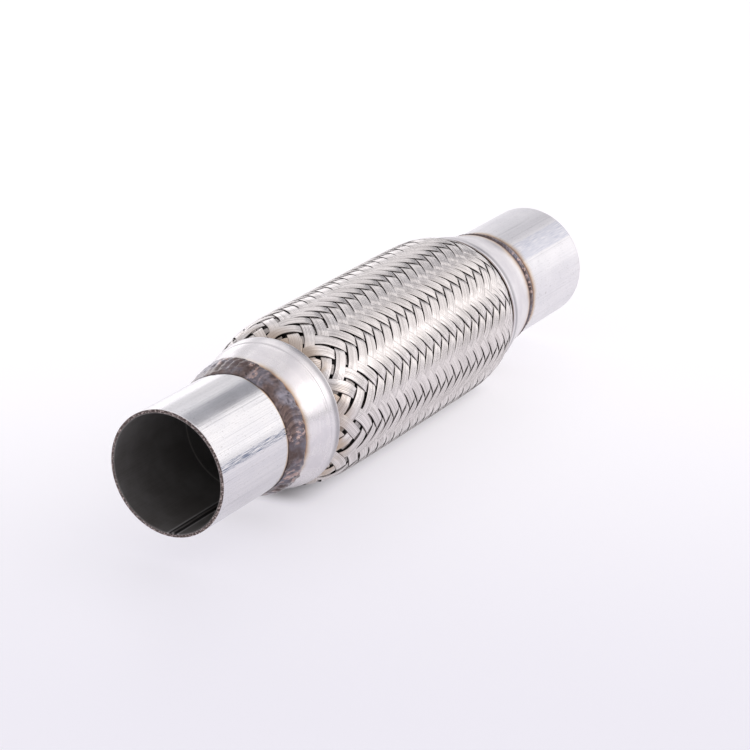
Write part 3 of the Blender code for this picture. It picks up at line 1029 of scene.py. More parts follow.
@dataclass(frozen=True)
class BraidWire:
    """Bright wire laid side by side in ribbons, with painted shade in the hollows of the weave.

    The piece carries its ribbon's number, the place across and along it and the
    depth below the braid's tops as attributes.

    Args:
        name: The material's name.
        wires: Wires in a ribbon.
        rim_heights: Heights of the caps' rims, near which the wire is tanned.
        tan_reaches: How far the tan reaches from each rim.
        pale: Colour of clean wire.
        shade: Colour of duller wire.
        valley: Colour of the painted shade between wires and along a ribbon's long edges.
        handled: Colour of handled places.
        hollow_shade: Colour of the painted shade in the hollows of the weave.
        tan: Colour of wire tanned by heat.
    """

    name: str
    wires: int
    rim_heights: tuple[float, float]
    tan_reaches: tuple[float, float] = (0.0095, 0.0040)
    pale: Colour = (0.88, 0.835, 0.825)
    shade: Colour = (0.44, 0.41, 0.40)
    valley: Colour = (0.15, 0.13, 0.125)
    handled: Colour = (0.70, 0.665, 0.64)
    hollow_shade: Colour = (0.075, 0.062, 0.056)
    tan: Colour = (0.50, 0.39, 0.30)

    def build(self) -> Finish:
        """Build the finish.

        Returns:
            The finish, ready to put on the ribbons.
        """
        finish = Finish(self.name, 1.0)
        wiring = finish.wiring
        ribbon, across, along, depth = (
            wiring.add("ShaderNodeAttribute", attribute_name=name).outputs["Fac"]
            for name in ("ribbon", "across", "along", "depth"))
        wire = wiring.math("FLOOR", wiring.times(across, float(self.wires)))
        own = wiring.add("ShaderNodeTexWhiteNoise", noise_dimensions="2D")
        wiring.feed(own.inputs["Vector"], wiring.spot(wire, ribbon, 0.0))
        streak = wiring.noise(wiring.spot(wiring.times(across, 26.0), wiring.times(along, 0.35),
                                          wiring.times(ribbon, 7.3)), 1.0, detail=3.0,
                              roughness=0.6)
        dark_wire = wiring.math("POWER", own.outputs["Value"], 2.5)
        dull = wiring.times_plus(dark_wire, 0.62,
                                 wiring.times(wiring.fade(streak, 0.38, 0.66), 0.34), clamp=True)
        blotch = Effects.use(wiring, "smudges", size=0.014).outputs["Mask"]
        colour = wiring.blend(dull, self.pale, self.shade)
        # Painted shade between the wires and along each ribbon's long edges.
        colour = wiring.blend(self._crease_shade(wiring, across, streak), colour, self.valley)
        colour = wiring.wash(colour, blotch, 0.30, self.handled)
        colour = wiring.blend(self._tanning(wiring, ribbon), colour, self.tan)
        # Painted shade: the wire darkens the deeper it lies below the braid's tops.
        finish.colour(wiring.blend(wiring.fade(depth, 0.52, 0.94, 0.0, 0.88), colour, self.hollow_shade))
        finish.roughness(wiring.times_plus(dull, 0.10, 0.17))
        finish.relief(streak, depth=0.00002, strength=0.3)
        return finish

    def _crease_shade(self, wiring: Wiring, across: Socket, streak: Socket) -> Socket:
        """Mask the painted shade in the valleys between wires and along a ribbon's long edges.

        Args:
            wiring: The finish's wiring.
            across: Share of the way across the ribbon.
            streak: Noise along the wires.

        Returns:
            The mask.
        """
        beside = wiring.math("PINGPONG", wiring.times(across, float(self.wires)), 0.5)
        valley = wiring.times(wiring.fall(beside, 0.02, 0.24),
                              wiring.fade(streak, 0.34, 0.66, 0.22, 0.85))
        edge = wiring.fall(wiring.math("PINGPONG", across, 0.5), 0.0, 0.065, 0.70)
        return wiring.math("MAXIMUM", valley, edge)

    def _tanning(self, wiring: Wiring, ribbon: Socket) -> Socket:
        """Mask the ribbons' ends, tanned by the heat of the spot welds.

        Args:
            wiring: The finish's wiring.
            ribbon: The ribbon's number.

        Returns:
            The mask.
        """
        place = wiring.object_place
        z = wiring.split(place)[2]
        near = (wiring.fall(wiring.apart(z, rim), 0.0, reach)
                for rim, reach in zip(self.rim_heights, self.tan_reaches))
        cloud = wiring.noise(place, 70.0, detail=3.0, roughness=0.6)
        chance = wiring.add("ShaderNodeTexWhiteNoise", noise_dimensions="1D")
        wiring.feed(chance.inputs["W"], ribbon)
        own = wiring.times_plus(chance.outputs["Value"], 0.9, 0.3)
        patch = wiring.times(wiring.math("MAXIMUM", *near), wiring.fade(cloud, 0.34, 0.54))
        return wiring.times(patch, own, clamp=True)


@dataclass(frozen=True)
class HiddenSteel:
    """Dull sheet steel of the inner pieces, darkened by scale and by painted shade.

    Args:
        name: The material's name.
        line_pitch: Fine lines per metre along the pipe.
        pale: Colour of the cleaner sheet.
        scale: Colour of the scale on it.
        metallic: Metallic share, low where scale covers the sheet.
        line: Colour of the fine lines.
    """

    name: str
    line_pitch: float
    pale: Colour = (0.16, 0.15, 0.145)
    scale: Colour = (0.035, 0.029, 0.026)
    metallic: float = 0.9
    line: Colour = (0.09, 0.082, 0.08)

    def build(self) -> Finish:
        """Build the finish.

        Returns:
            The finish, ready to put on the piece.
        """
        finish = Finish(self.name, self.metallic)
        wiring = finish.wiring
        lines = Effects.use(wiring, "fine_lines", across=30.0,
                            along=self.line_pitch).outputs["Lines"]
        blotch = Effects.use(wiring, "smudges", size=0.008).outputs["Mask"]
        # Partly scale and partly painted shade: unless a piece is given lighter colours, its steel
        # is kept dark so that it reads as shade through the braid's gaps.
        colour = wiring.blend(blotch, self.pale, self.scale)
        finish.colour(wiring.wash(colour, lines, 0.4, self.line))
        finish.roughness(wiring.times_plus(blotch, 0.2, 0.42))
        finish.relief(lines, depth=0.00004, strength=0.4)
        return finish


@dataclass
class EndPipe:
    """A straight tube with a deburred cut face and its own inner weld seam.

    Args:
        envelope: Shared sizes.
        end: Which end of the flex pipe it is.
        look: What its steel has of its own.
        weld_station: Station of the weld bead's toe.
        wall: Thickness of the tube.
        edge: Size of the rounded edges of the cut.
        seam_rise: Height of the seam inside the bore.
        seam_width: Width of the seam inside the bore.
        steps: Points round the tube.
    """

    envelope: Envelope
    end: End
    look: PipeLook
    weld_station: float
    wall: float = 0.0015
    edge: float = 0.00025
    seam_rise: float = 0.00045
    seam_width: float = 0.0011
    steps: int = 288

    def outline(self) -> Outline:
        """Return the tube's section.

        Returns:
            (radius, height) points, from the cut face inwards and back.
        """
        outer = self.envelope.pipe_radius
        bore = outer - self.wall
        stations = [self.edge, self.edge * 4.0, 0.010, 0.020, 0.030, 0.040, 0.050,
                    self.envelope.pipe_depth]
        lip = self.edge / math.sqrt(2.0)
        points = [(outer - self.edge, 0.0), (outer - self.edge + lip, self.edge - lip)]
        points += [(outer, station) for station in stations]
        points += [(bore, station) for station in reversed(stations)]
        points += [(bore + self.edge - lip, self.edge - lip), (bore + self.edge, 0.0)]
        return [(radius, self.envelope.height(station, self.end)) for radius, station in points]

    def build(self) -> bpy.types.Object:
        """Build and dress the tube.

        Returns:
            The finished tube.
        """
        piece = Bench.turn(f"{self.end.value}_drawn_tube", self.outline(), self.steps)
        Bench.shape(piece, self._raise_seam)
        Bench.smooth(piece, 50.0)
        DrawnSteel(
            name=f"{self.end.value}_pipe_drawn_steel",
            look=self.look,
            outer_radius=self.envelope.pipe_radius,
            wall=self.wall,
            cut_height=self.envelope.height(0.0, self.end),
            weld_height=self.envelope.height(self.weld_station, self.end),
            inward=self.end.inward,
        ).build().put_on(piece)
        Bench.fit(piece, "end_pipe", f"{self.end.value}_pipe")
        return piece

    def _raise_seam(self, angles: np.ndarray, radii: np.ndarray,
                    heights: np.ndarray) -> tuple[np.ndarray, np.ndarray]:
        """Raise the weld seam along the bore.

        Args:
            angles: Points' angles.
            radii: Points' radii.
            heights: Points' heights.

        Returns:
            New radii and heights.
        """
        bore = self.envelope.pipe_radius - self.wall
        turned = np.angle(np.exp(1j * (angles - math.radians(self.look.bore_seam_angle))))
        aside = turned * bore / self.seam_width
        uneven = 1.0 + 0.25 * np.sin(heights * 900.0)
        rise = self.seam_rise * np.exp(-aside ** 2) * uneven
        inside = np.clip((bore + self.edge - radii) / self.edge, 0.0, 1.0)
        return radii - rise * inside, heights


@dataclass
class EndCap:
    """A spun cap: neck, slow flare, step line, lip and a thin rolled edge.

    Args:
        envelope: Shared sizes.
        end: Which end of the flex pipe it is.
        weld_station: Station of the weld bead's heel.
        dulling: Roughness that is added to the sheet's own.
        sheet: Thickness of the sheet.
        clearance: Gap to the pipe.
        neck_rise: Height of the neck's edge over the clearance round the pipe.
        profile: Shares of the cap's length and of its rise, from neck to rim.
        wander: How far the spun sheet wanders from a true round.
        steps: Points round the cap.
    """

    envelope: Envelope
    end: End
    weld_station: float
    dulling: float
    sheet: float = 0.0010
    clearance: float = 0.0003
    neck_rise: float = 0.0005
    profile: Rows = (
        (0.000, 0.000), (0.063, 0.088), (0.126, 0.146), (0.210, 0.166), (0.294, 0.215),
        (0.399, 0.332), (0.483, 0.439), (0.567, 0.557), (0.651, 0.664), (0.735, 0.752),
        (0.757, 0.764), (0.767, 0.788), (0.775, 0.816), (0.819, 0.863), (0.861, 0.906),
        (0.903, 0.941), (0.928, 0.957), (0.954, 0.963), (0.979, 0.961), (0.9916, 0.941),
        (0.9979, 0.914), (1.000, 0.879),
    )
    wander: float = 0.00006
    steps: int = 240

    def outer_side(self) -> Outline:
        """Return the cap's outer side.

        Returns:
            (station, radius) points, from neck to rim.
        """
        shares, rises = (np.array(row) for row in zip(*self.profile))
        slopes = np.gradient(rises, shares)
        side = []
        for first in range(len(shares) - 1):
            step = shares[first + 1] - shares[first]
            cuts = max(1, round(step * 50.0))
            for part in np.arange(cuts) / cuts:
                curve = self._hermite(part, rises[first], rises[first + 1],
                                      slopes[first] * step, slopes[first + 1] * step)
                side.append((shares[first] + step * part, curve))
        side.append((shares[-1], rises[-1]))
        low = self._bore + self.neck_rise
        long = self.envelope.rim - self.envelope.cap_start
        tall = self.envelope.crown_radius - low
        return [(float(self.envelope.cap_start + long * share), float(low + tall * rise))
                for share, rise in side]

    @property
    def _bore(self) -> float:
        """Radius of the neck's bore."""
        return self.envelope.pipe_radius + self.clearance

    def _hermite(self, part: float, start: float, end: float, leave: float,
                 arrive: float) -> float:
        """Return a place on the smooth curve between two points.

        Args:
            part: Share of the way.
            start: Value at the first point.
            end: Value at the second point.
            leave: Slope at the first point.
            arrive: Slope at the second point.

        Returns:
            The value there.
        """
        square = part * part
        cube = square * part
        return ((2.0 * cube - 3.0 * square + 1.0) * start + (cube - 2.0 * square + part) * leave
                + (3.0 * square - 2.0 * cube) * end + (cube - square) * arrive)

    def radius_at(self, stations: np.ndarray) -> np.ndarray:
        """Return the cap's outer radii at stations."""
        return look_up(self.outer_side(), stations)

    def outline(self) -> Outline:
        """Return the cap's whole section.

        Returns:
            (radius, height) points, up the outer side and back inside.
        """
        outer = self.outer_side()
        inner = [(self.envelope.rim - 0.2 * self.sheet, outer[-1][1] - 0.5 * self.sheet)]
        for station, radius in reversed(outer[1:-5:2]):
            inner.append((station, max(radius - self.sheet, self._bore)))
        inner.append((self.envelope.cap_start, self._bore))
        return [(float(radius), self.envelope.height(float(station), self.end))
                for station, radius in outer + inner]

    def build(self) -> bpy.types.Object:
        """Build and dress the cap.

        Returns:
            The finished cap.
        """
        piece = Bench.turn(f"{self.end.value}_spun_cap", self.outline(), self.steps)
        Bench.shape(piece, self._let_wander)
        Bench.smooth(piece, 60.0)
        SpunSteel(
            name=f"{self.end.value}_cap_spun_steel",
            weld_height=self.envelope.height(self.weld_station, self.end),
            rim_height=self.envelope.height(self.envelope.rim, self.end),
            inward=self.end.inward,
            dulling=self.dulling,
        ).build().put_on(piece)
        Bench.fit(piece, "end_cap", f"{self.end.value}_end_cap")
        return piece

    def _let_wander(self, angles: np.ndarray, radii: np.ndarray,
                    heights: np.ndarray) -> tuple[np.ndarray, np.ndarray]:
        """Let the spun sheet wander a little from a true round, more towards the rim.

        Args:
            angles: Points' angles.
            radii: Points' radii.
            heights: Points' heights.

        Returns:
            New radii and heights.
        """
        share = self.envelope.cap_share(self.envelope.stations(heights))
        waves = Waves(seed=32, slowest=2, fastest=7)
        return radii + self.wander * waves(angles) * share, heights


@dataclass(frozen=True)
class BeadLook:
    """What differs between the two beads as they were laid.

    Args:
        back: Shares of the bead's width and of its rise, from toe to heel.
        rise: Height of the bead's back.
        ripples: Ripples once round.
        ripple_height: Height of each ripple.
        lumps: Height of the bead's larger lumps.
        straying: How far its edges stray.
        seed: Number that picks the uneven shape.
        toe_run: Angles round Z in degrees, and how far the toe strays there.
        heel_run: Angles round Z in degrees, and how far the heel strays there.
    """

    back: Rows
    rise: float
    ripples: int
    ripple_height: float
    lumps: float
    straying: float
    seed: int
    toe_run: Rows = ((0.0, 0.0),)
    heel_run: Rows = ((0.0, 0.0),)


@dataclass
class WeldBead:
    """A hand-laid bead of overlapping ripples between the pipe and the cap.

    Args:
        envelope: Shared sizes.
        end: Which end of the flex pipe it is.
        cap: The cap that it is laid on.
        look: How it was laid.
        toe: Station of the bead's edge on the pipe.
        heel: Station of its edge on the cap.
        steps: Points round the bead.
        arc_steps: Points over the bead's back.
        foot_gap: Gap under the bead, as a share of the cap's clearance.
        lap_gap: Gap between its back's line and the cap, as such a share.
        rippled: Shares of the bead's width, and how strongly it ripples there.
    """

    envelope: Envelope
    end: End
    cap: EndCap
    look: BeadLook
    toe: float
    heel: float
    steps: int = 640
    arc_steps: int = 22
    foot_gap: float = 0.4
    lap_gap: float = 0.5
    rippled: Rows = ((0.0, 0.0), (0.12, 1.0), (0.90, 1.0), (1.0, 0.0))

    @property
    def _foot(self) -> float:
        """Radius of the bead's underside on the pipe."""
        return self.envelope.pipe_radius + self.cap.clearance * self.foot_gap

    @property
    def _on_cap(self) -> bool:
        """Whether the bead laps over the cap's neck."""
        return self.heel > self.envelope.cap_start

    def _skin(self) -> np.ndarray:
        """Return places once round the section.

        Returns:
            Rows of kind and share. Kind 0 is the bead's back from toe to heel, kind 1 its
            underside on the cap from heel to neck, and kind 2 the foot on the pipe.
        """
        rows = [(0.0, float(share)) for share in np.linspace(0.0, 1.0, self.arc_steps + 1)]
        if self._on_cap:
            rows += [(1.0, share) for share in (0.0, 0.25, 0.5, 0.75, 1.0)]
            rows.append((2.0, 0.0))
        return np.array(rows)

    def _locate(self, rows: np.ndarray, angles: np.ndarray,
                stray: float) -> tuple[np.ndarray, np.ndarray]:
        """Return stations and radii of places on the section at angles.

        Args:
            rows: Rows of kind and share.
            angles: Angle of each place.
            stray: 1 for the bead as it was laid, 0 for a true ring.

        Returns:
            Stations and radii.
        """
        kind, share = rows[:, 0], rows[:, 1]
        toe = self.toe + stray * self._run(self.look.toe_run, angles, 5)
        heel = self.heel + stray * self._run(self.look.heel_run, angles, 6)
        start = self.envelope.cap_start
        back = toe + (heel - toe) * share
        under = heel + (start - heel) * share
        lap = start - self.cap.clearance
        stations = np.where(kind == 0.0, back, np.where(kind == 1.0, under, lap))
        lap_gap = self.cap.clearance * self.lap_gap
        heel_foot = self._foot
        if self._on_cap:
            heel_foot = self.cap.radius_at(heel) + lap_gap
        base = self._foot + (heel_foot - self._foot) * share
        if self._on_cap:
            on_cap = np.maximum(base, self.cap.radius_at(stations) + lap_gap)
            base = np.where(stations > start, on_cap, base)
        crown = self.look.rise * look_up(self.look.back, share)
        crown = crown + stray * self._ripple(angles, share) * look_up(self.rippled, share)
        under_radius = self.cap.radius_at(stations) + self.cap.clearance * self.foot_gap
        radii = np.where(kind == 0.0, base + np.maximum(crown, 0.0),
                         np.where(kind == 1.0, under_radius, self._foot))
        return stations, radii

    def _run(self, run: Rows, angles: np.ndarray, number: int) -> np.ndarray:
        """Return how far an edge strays.

        Args:
            run: The edge's slow straying.
            angles: Angles round the pipe.
            number: Number of its own waves, added to the bead's seed.

        Returns:
            Distances towards the cap.
        """
        slow = look_up(run, np.degrees(angles), 360.0)
        quick = Waves(self.look.seed + number, slowest=3, fastest=30, count=14)
        return slow + self.look.straying * quick(angles)

    def _ripple(self, angles: np.ndarray, share: np.ndarray) -> np.ndarray:
        """Return the height of the ripples and lumps.

        Args:
            angles: Angles round the pipe.
            share: Shares of the way from toe to heel.

        Returns:
            Heights.
        """
        look = self.look
        bow = 2.2 * (share - 0.5) ** 2
        pace = 0.7 * Waves(look.seed + 1, slowest=3, fastest=11)(angles)
        phase = look.ripples * (angles + bow * 0.16) + pace
        ripple = look.ripple_height * (np.abs(np.sin(0.5 * phase)) - 0.6)
        swell = 1.0 + 0.5 * Waves(look.seed + 2, slowest=2, fastest=6)(angles)
        broad = Waves(look.seed + 3, slowest=5, fastest=30, count=12)
        small = Waves(look.seed + 4, slowest=20, fastest=70, count=14)
        lump = look.lumps * broad(angles + 0.9 * share)
        lump = lump + look.lumps * 0.6 * small(angles - 1.7 * share)
        return ripple * swell + lump

    def _lay(self, ring: np.ndarray, angles: np.ndarray, radii: np.ndarray,
             heights: np.ndarray) -> tuple[np.ndarray, np.ndarray]:
        """Move each ring of points to its place on the laid bead.

        Args:
            ring: (radius, height) points of the true ring's section.
            angles: Points' angles.
            radii: Points' radii.
            heights: Points' heights.

        Returns:
            New radii and heights.
        """
        apart = np.hypot(radii[:, None] - ring[:, 0], heights[:, None] - ring[:, 1])
        rows = self._skin()[np.argmin(apart, axis=1)]
        stations, laid_radii = self._locate(rows, angles, 1.0)
        return laid_radii, self.envelope.height(stations, self.end)

    def build(self) -> bpy.types.Object:
        """Build and dress the bead.

        Returns:
            The finished bead.
        """
        rows = self._skin()
        stations, radii = self._locate(rows, np.zeros(len(rows)), 0.0)
        ring = np.stack((radii, self.envelope.height(stations, self.end)), 1)
        piece = Bench.turn(f"{self.end.value}_rippled_bead", ring.tolist(), self.steps)
        Bench.shape(piece, partial(self._lay, ring))
        Bench.smooth(piece, 60.0)
        WeldMetal(name=f"{self.end.value}_weld_metal").build().put_on(piece)
        Bench.fit(piece, "weld", f"{self.end.value}_weld_bead")
        return piece


@dataclass(frozen=True)
class Drift:
    """A slow change by chance along the ribbons.

    Args:
        seed: Number that picks it.
        slow: Crossings in one slow wave.
        size: How large it is.
    """

    seed: int
    slow: float
    size: float


@dataclass
class Braid:
    """The woven sleeve: ribbons of fine wire, over two and under two.

    Columns of crossings run along the pipe and rings of them run round it.
    A ribbon goes one column round for each ring that it goes down. In two
    columns of four the right-hand ribbons lie on top, in the next two the
    left-hand ones do.

    Args:
        envelope: Shared sizes.
        ribbons_each_way: Ribbons wound each way.
        repeat: Ribbons after which the weave repeats.
        kinds: Number of the first ribbon of each kind.
        wires: Wires side by side in a ribbon.
        ribbon_width: Width of a ribbon.
        ribbon_thickness: Thickness of a ribbon.
        wire_relief: Depth of the valleys between wires.
        weave_height: How far a ribbon's middle swings in and out.
        weave_phase: Crossing at which a right-hand ribbon lies highest.
        flatness: Share of the swing that the smoothed path reaches.
        underside: Places of the underside's points, as shares across the ribbon.
        steps_per_crossing: Points along a ribbon from one crossing to the next.
        mouth_radius: Radius of the ribbons' tops at the caps' rims.
        shoulder_length: How fast the braid widens from a rim to the barrel.
        tuck: How far the ribbons run in under the caps.
        tuck_slope: How fast they sink there.
        pitch: Height between every second ring of crossings.
        stretch: How much longer that is at the inlet cap's rim.
        stretch_reach: How far the lengthening reaches.
        column_angle: Angle of column 0 round Z.
        reference: How far ring 0 lies below the inlet cap's rim.
        stray: How far ribbons stray sideways everywhere.
        loose_stray: How much further they do by the inlet cap.
        loose_stray_reach: How far from its rim.
        spread: How much their width changes everywhere, as a share.
        loose_spread: How much more it does by the inlet cap.
        loose_spread_reach: How far from its rim.
        loose_narrowing: Share by which they are narrower there.
        lift: How far they stand in and out.
        ring_numbers: The rings' numbers, from the inlet down.
        ring_heights: Their heights on Z.
    """

    envelope: Envelope
    ribbons_each_way: int = 24
    repeat: int = 4
    kinds: tuple[int, ...] = (1, 3)
    wires: int = 8
    ribbon_width: float = 0.00472
    ribbon_thickness: float = 0.00038
    wire_relief: float = 0.00010
    weave_height: float = 0.00043
    weave_phase: float = 3.5
    flatness: float = 0.95
    underside: tuple[float, ...] = (0.93, 0.5, 0.07)
    steps_per_crossing: int = 8
    mouth_radius: float = 0.02962
    shoulder_length: float = 0.0065
    tuck: float = 0.0050
    tuck_slope: float = 0.06
    pitch: float = 0.00646
    stretch: float = 0.0028
    stretch_reach: float = 0.020
    column_angle: float = math.radians(-165.0)
    reference: float = 0.0756
    stray: Drift = Drift(seed=41, slow=17.0, size=0.00011)
    loose_stray: Drift = Drift(seed=42, slow=9.0, size=0.00065)
    loose_stray_reach: float = 0.012
    spread: Drift = Drift(seed=43, slow=13.0, size=0.03)
    loose_spread: Drift = Drift(seed=44, slow=7.0, size=0.15)
    loose_spread_reach: float = 0.011
    loose_narrowing: float = 0.05
    lift: Drift = Drift(seed=45, slow=11.0, size=0.00003)
    ring_numbers: np.ndarray = field(init=False)
    ring_heights: np.ndarray = field(init=False)

    def __post_init__(self) -> None:
        """Work out the rings of crossings."""
        self.ring_numbers, self.ring_heights = self._find_rings()

    @property
    def column_step(self) -> float:
        """Angle between two columns of crossings."""
        return math.pi / self.ribbons_each_way

    def _half_pitch(self, height: float | np.ndarray) -> float | np.ndarray:
        """Return the height between two rings, longer by the inlet."""
        near = np.exp(-(self.envelope.below_rim(height) / self.stretch_reach) ** 2)
        return 0.5 * (self.pitch + self.stretch * near)

    def _find_rings(self) -> tuple[np.ndarray, np.ndarray]:
        """Find the rings of crossings between the two tucked ends.

        Returns:
            The rings' numbers and heights, from the inlet down.
        """
        depth = self.envelope.rim - self.tuck
        heights = [self.envelope.below_rim(self.reference)]
        above = 0
        while heights[0] + self._half_pitch(heights[0]) < self.envelope.length - depth:
            heights.insert(0, heights[0] + self._half_pitch(heights[0]))
            above += 1
        while heights[-1] - self._half_pitch(heights[-1]) > depth:
            heights.append(heights[-1] - self._half_pitch(heights[-1]))
        return np.arange(len(heights), dtype=float) - above, np.array(heights)

    def _top_radius(self, heights: np.ndarray) -> np.ndarray:
        """Return the radius of the ribbons' tops.

        Args:
            heights: Heights on Z.

        Returns:
            The radii there.
        """
        past_rim = self.envelope.stations(heights) - self.envelope.rim
        drop = self.envelope.barrel_radius - self.mouth_radius
        shoulder = self.envelope.barrel_radius - drop * np.exp(-past_rim / self.shoulder_length)
        return np.where(past_rim < 0.0, self.mouth_radius + self.tuck_slope * past_rim, shoulder)

    def _height_of(self, rings: np.ndarray) -> np.ndarray:
        """Return the heights of ring numbers, whole or broken."""
        return np.interp(rings, self.ring_numbers, self.ring_heights)

    def _ring_of(self, heights: np.ndarray) -> np.ndarray:
        """Return the broken ring numbers of heights."""
        return np.interp(-heights, -self.ring_heights, self.ring_numbers)

    def _section(self) -> tuple[np.ndarray, np.ndarray]:
        """Return a ribbon's section, its wires on top and a flat underside.

        Returns:
            Shares across the ribbon and heights over its middle.
        """
        top_points = 2 * self.wires + 1
        across = np.linspace(0.0, 1.0, top_points)
        half = 0.5 * self.ribbon_thickness
        crest = np.arange(top_points) % 2 == 1
        up = np.where(crest, half, half - self.wire_relief)
        up[0] = up[-1] = 0.0
        below = np.full(len(self.underside), -half)
        return np.concatenate((across, self.underside)), np.concatenate((up, below))

    def _model_ribbon(self, name: str) -> bpy.types.Object:
        """Model one straight ribbon as a cylinder cut into rings.

        Args:
            name: The piece's name.

        Returns:
            A unit cylinder with the right number of faces round and along it.
        """
        around = len(self._section()[0])
        Bench.clear()
        bpy.ops.mesh.primitive_cylinder_add(vertices=around, radius=1.0, depth=1.0,
                                            end_fill_type="NGON", calc_uvs=False)
        piece = Bench.name_new(name)
        for cuts in (len(self.ring_numbers) - 2, self.steps_per_crossing - 1):
            bpy.ops.object.mode_set(mode="EDIT")
            bpy.ops.mesh.select_mode(type="EDGE")
            bpy.ops.mesh.select_all(action="DESELECT")
            bpy.ops.object.mode_set(mode="OBJECT")
            first, second = Bench.edge_ends(piece)
            heights = Bench.points(piece)[:, 2]
            upright = np.abs(heights[first] - heights[second]) > 1e-6
            piece.data.edges.foreach_set("select", upright)
            bpy.ops.object.mode_set(mode="EDIT")
            bpy.ops.mesh.subdivide(number_cuts=cuts)
            bpy.ops.object.mode_set(mode="OBJECT")
        return piece

    def _lay_ribbon(self, piece: bpy.types.Object, lay: Lay, label: int) -> None:
        """Lay a straight ribbon along its path through the weave.

        Args:
            piece: The cylinder that becomes the ribbon.
            lay: Which way it winds.
            label: Number of the ribbon's line through the crossings.
        """
        points = Bench.points(piece)
        shares, ups = self._section()
        turn = np.arctan2(points[:, 1], points[:, 0])
        place = np.round(turn / (2.0 * math.pi / len(shares))).astype(int) % len(shares)
        span = self.ring_numbers[-1] - self.ring_numbers[0]
        rings = self.ring_numbers[0] + (0.5 - points[:, 2]) * span
        labels = np.full(len(points), float(label))
        for name, values in (("across", shares[place]), ("along", rings), ("up", ups[place]),
                             ("label", labels)):
            self._carry(piece, name, values)
        self._place(piece, lay)
        Bench.take(piece)
        with Bench.editing():
            bpy.ops.mesh.normals_make_consistent(inside=False)
        self._part_wires(piece)

    def _carry(self, piece: bpy.types.Object, name: str, values: np.ndarray) -> None:
        """Let a piece carry a number at each point.

        Args:
            piece: The piece.
            name: What the number is called.
            values: The numbers.
        """
        held = piece.data.attributes.get(name)
        if held is None:
            held = piece.data.attributes.new(name, "FLOAT", "POINT")
        held.data.foreach_set("value", values.astype(np.float32))

    def _carried(self, piece: bpy.types.Object, name: str) -> np.ndarray:
        """Return the numbers that a piece carries.

        Args:
            piece: The piece.
            name: What they are called.

        Returns:
            The numbers, one for each point.
        """
        held = piece.data.attributes[name]
        values = np.empty(len(held.data), np.float32)
        held.data.foreach_get("value", values)
        return values.astype(float)

    def _part_wires(self, piece: bpy.types.Object) -> None:
        """Mark the valleys between wires as sharp, so that each wire looks round.

        Args:
            piece: The ribbon.
        """
        across = self._carried(piece, "across")
        up = self._carried(piece, "up")
        first, second = Bench.edge_ends(piece)
        valley = up < 0.5 * self.ribbon_thickness - 1e-6
        along_edge = np.abs(across[first] - across[second]) < 1e-6
        sharp = piece.data.attributes.new("sharp_edge", "BOOLEAN", "EDGE")
        sharp.data.foreach_set("value", valley[first] & valley[second] & along_edge)
        piece.data.shade_smooth()

    def _place(self, piece: bpy.types.Object, lay: Lay) -> None:
        """Put every point of laid ribbons in its place, with the unevenness of handwork.

        Args:
            piece: Ribbons that carry where each point is across and along them.
            lay: Which way they wind.
        """
        across, rings, up, label = (self._carried(piece, name)
                                    for name in ("across", "along", "up", "label"))
        middle_height = self._height_of(rings)
        radius = self._top_radius(middle_height)
        round_step = radius * self.column_step * lay.value
        down_step = -self._half_pitch(middle_height)
        length = np.hypot(round_step, down_step)
        aside_round = -down_step / length
        aside_down = round_step / length
        stray, spread, lift = self._unevenness(label, rings, lay)
        aside = (across - 0.5) * self.ribbon_width * spread + stray
        angle = self.column_angle + self.column_step * (label + lay.value * rings)
        angle = angle + aside * aside_round / radius
        height = middle_height + aside * aside_down
        column = (angle - self.column_angle) / self.column_step
        ring = self._ring_of(height)
        crossing = 0.5 * (label + column + lay.value * ring)
        wave = lay.value * np.cos(0.5 * math.pi * (crossing - self.weave_phase))
        swing = wave * (15.0 - 10.0 * wave ** 2 + 3.0 * wave ** 4) / 8.0
        reach = self.weave_height / self.flatness
        top = self._top_radius(height)
        out = top - reach - 0.5 * self.ribbon_thickness + reach * swing + up + lift
        points = np.stack((out * np.cos(angle), out * np.sin(angle), height), 1)
        Bench.put_points(piece, points)
        depth = np.clip((top - out) / (2.0 * reach + self.ribbon_thickness), 0.0, 1.0)
        self._carry(piece, "depth", depth)

    def _wander(self, label: np.ndarray, rings: np.ndarray, lay: Lay,
                drift: Drift) -> np.ndarray:
        """Return smooth chance values along each ribbon.

        Args:
            label: Ribbons' numbers.
            rings: Places along them.
            lay: Which way they wind.
            drift: What kind of change it is.

        Returns:
            Values of either sign, about as large as the drift's size.
        """
        chance = np.random.default_rng(drift.seed * 2 + (lay is Lay.LEFT))
        count = 2 * self.ribbons_each_way
        whole = np.round(label).astype(int) % count
        total = np.zeros(len(rings))
        for stretch in (1.0, 0.55, 0.31):
            starts = chance.uniform(0.0, 2.0 * math.pi, count)
            sizes = chance.uniform(0.3, 1.0, count)
            turns = 2.0 * math.pi * rings / (drift.slow * stretch)
            total += sizes[whole] * np.sin(turns + starts[whole])
        return drift.size * (total / 1.6)

    def _near_inlet(self, rings: np.ndarray, reach: float) -> np.ndarray:
        """Return 1 at the inlet rim, falling to 0 over a reach in metres."""
        below_rim = self.envelope.below_rim(self._height_of(rings))
        return np.exp(-(np.maximum(below_rim, 0.0) / reach) ** 2)

    def _unevenness(self, label: np.ndarray, rings: np.ndarray,
                    lay: Lay) -> tuple[np.ndarray, np.ndarray, np.ndarray]:
        """Return how unevenly the ribbons were laid.

        Args:
            label: Ribbons' numbers.
            rings: Places along them.
            lay: Which way they wind.

        Returns:
            How far they stray sideways, their share of the usual width, and how far they
            stand out of their usual path, most of them inwards.
        """
        change = partial(self._wander, label, rings, lay)
        near = self._near_inlet(rings, self.loose_stray_reach)
        stray = change(self.stray) + near * change(self.loose_stray)
        near = self._near_inlet(rings, self.loose_spread_reach)
        loose = change(self.loose_spread) - self.loose_narrowing
        return stray, 1.0 + change(self.spread) + near * loose, change(self.lift) - self.lift.size

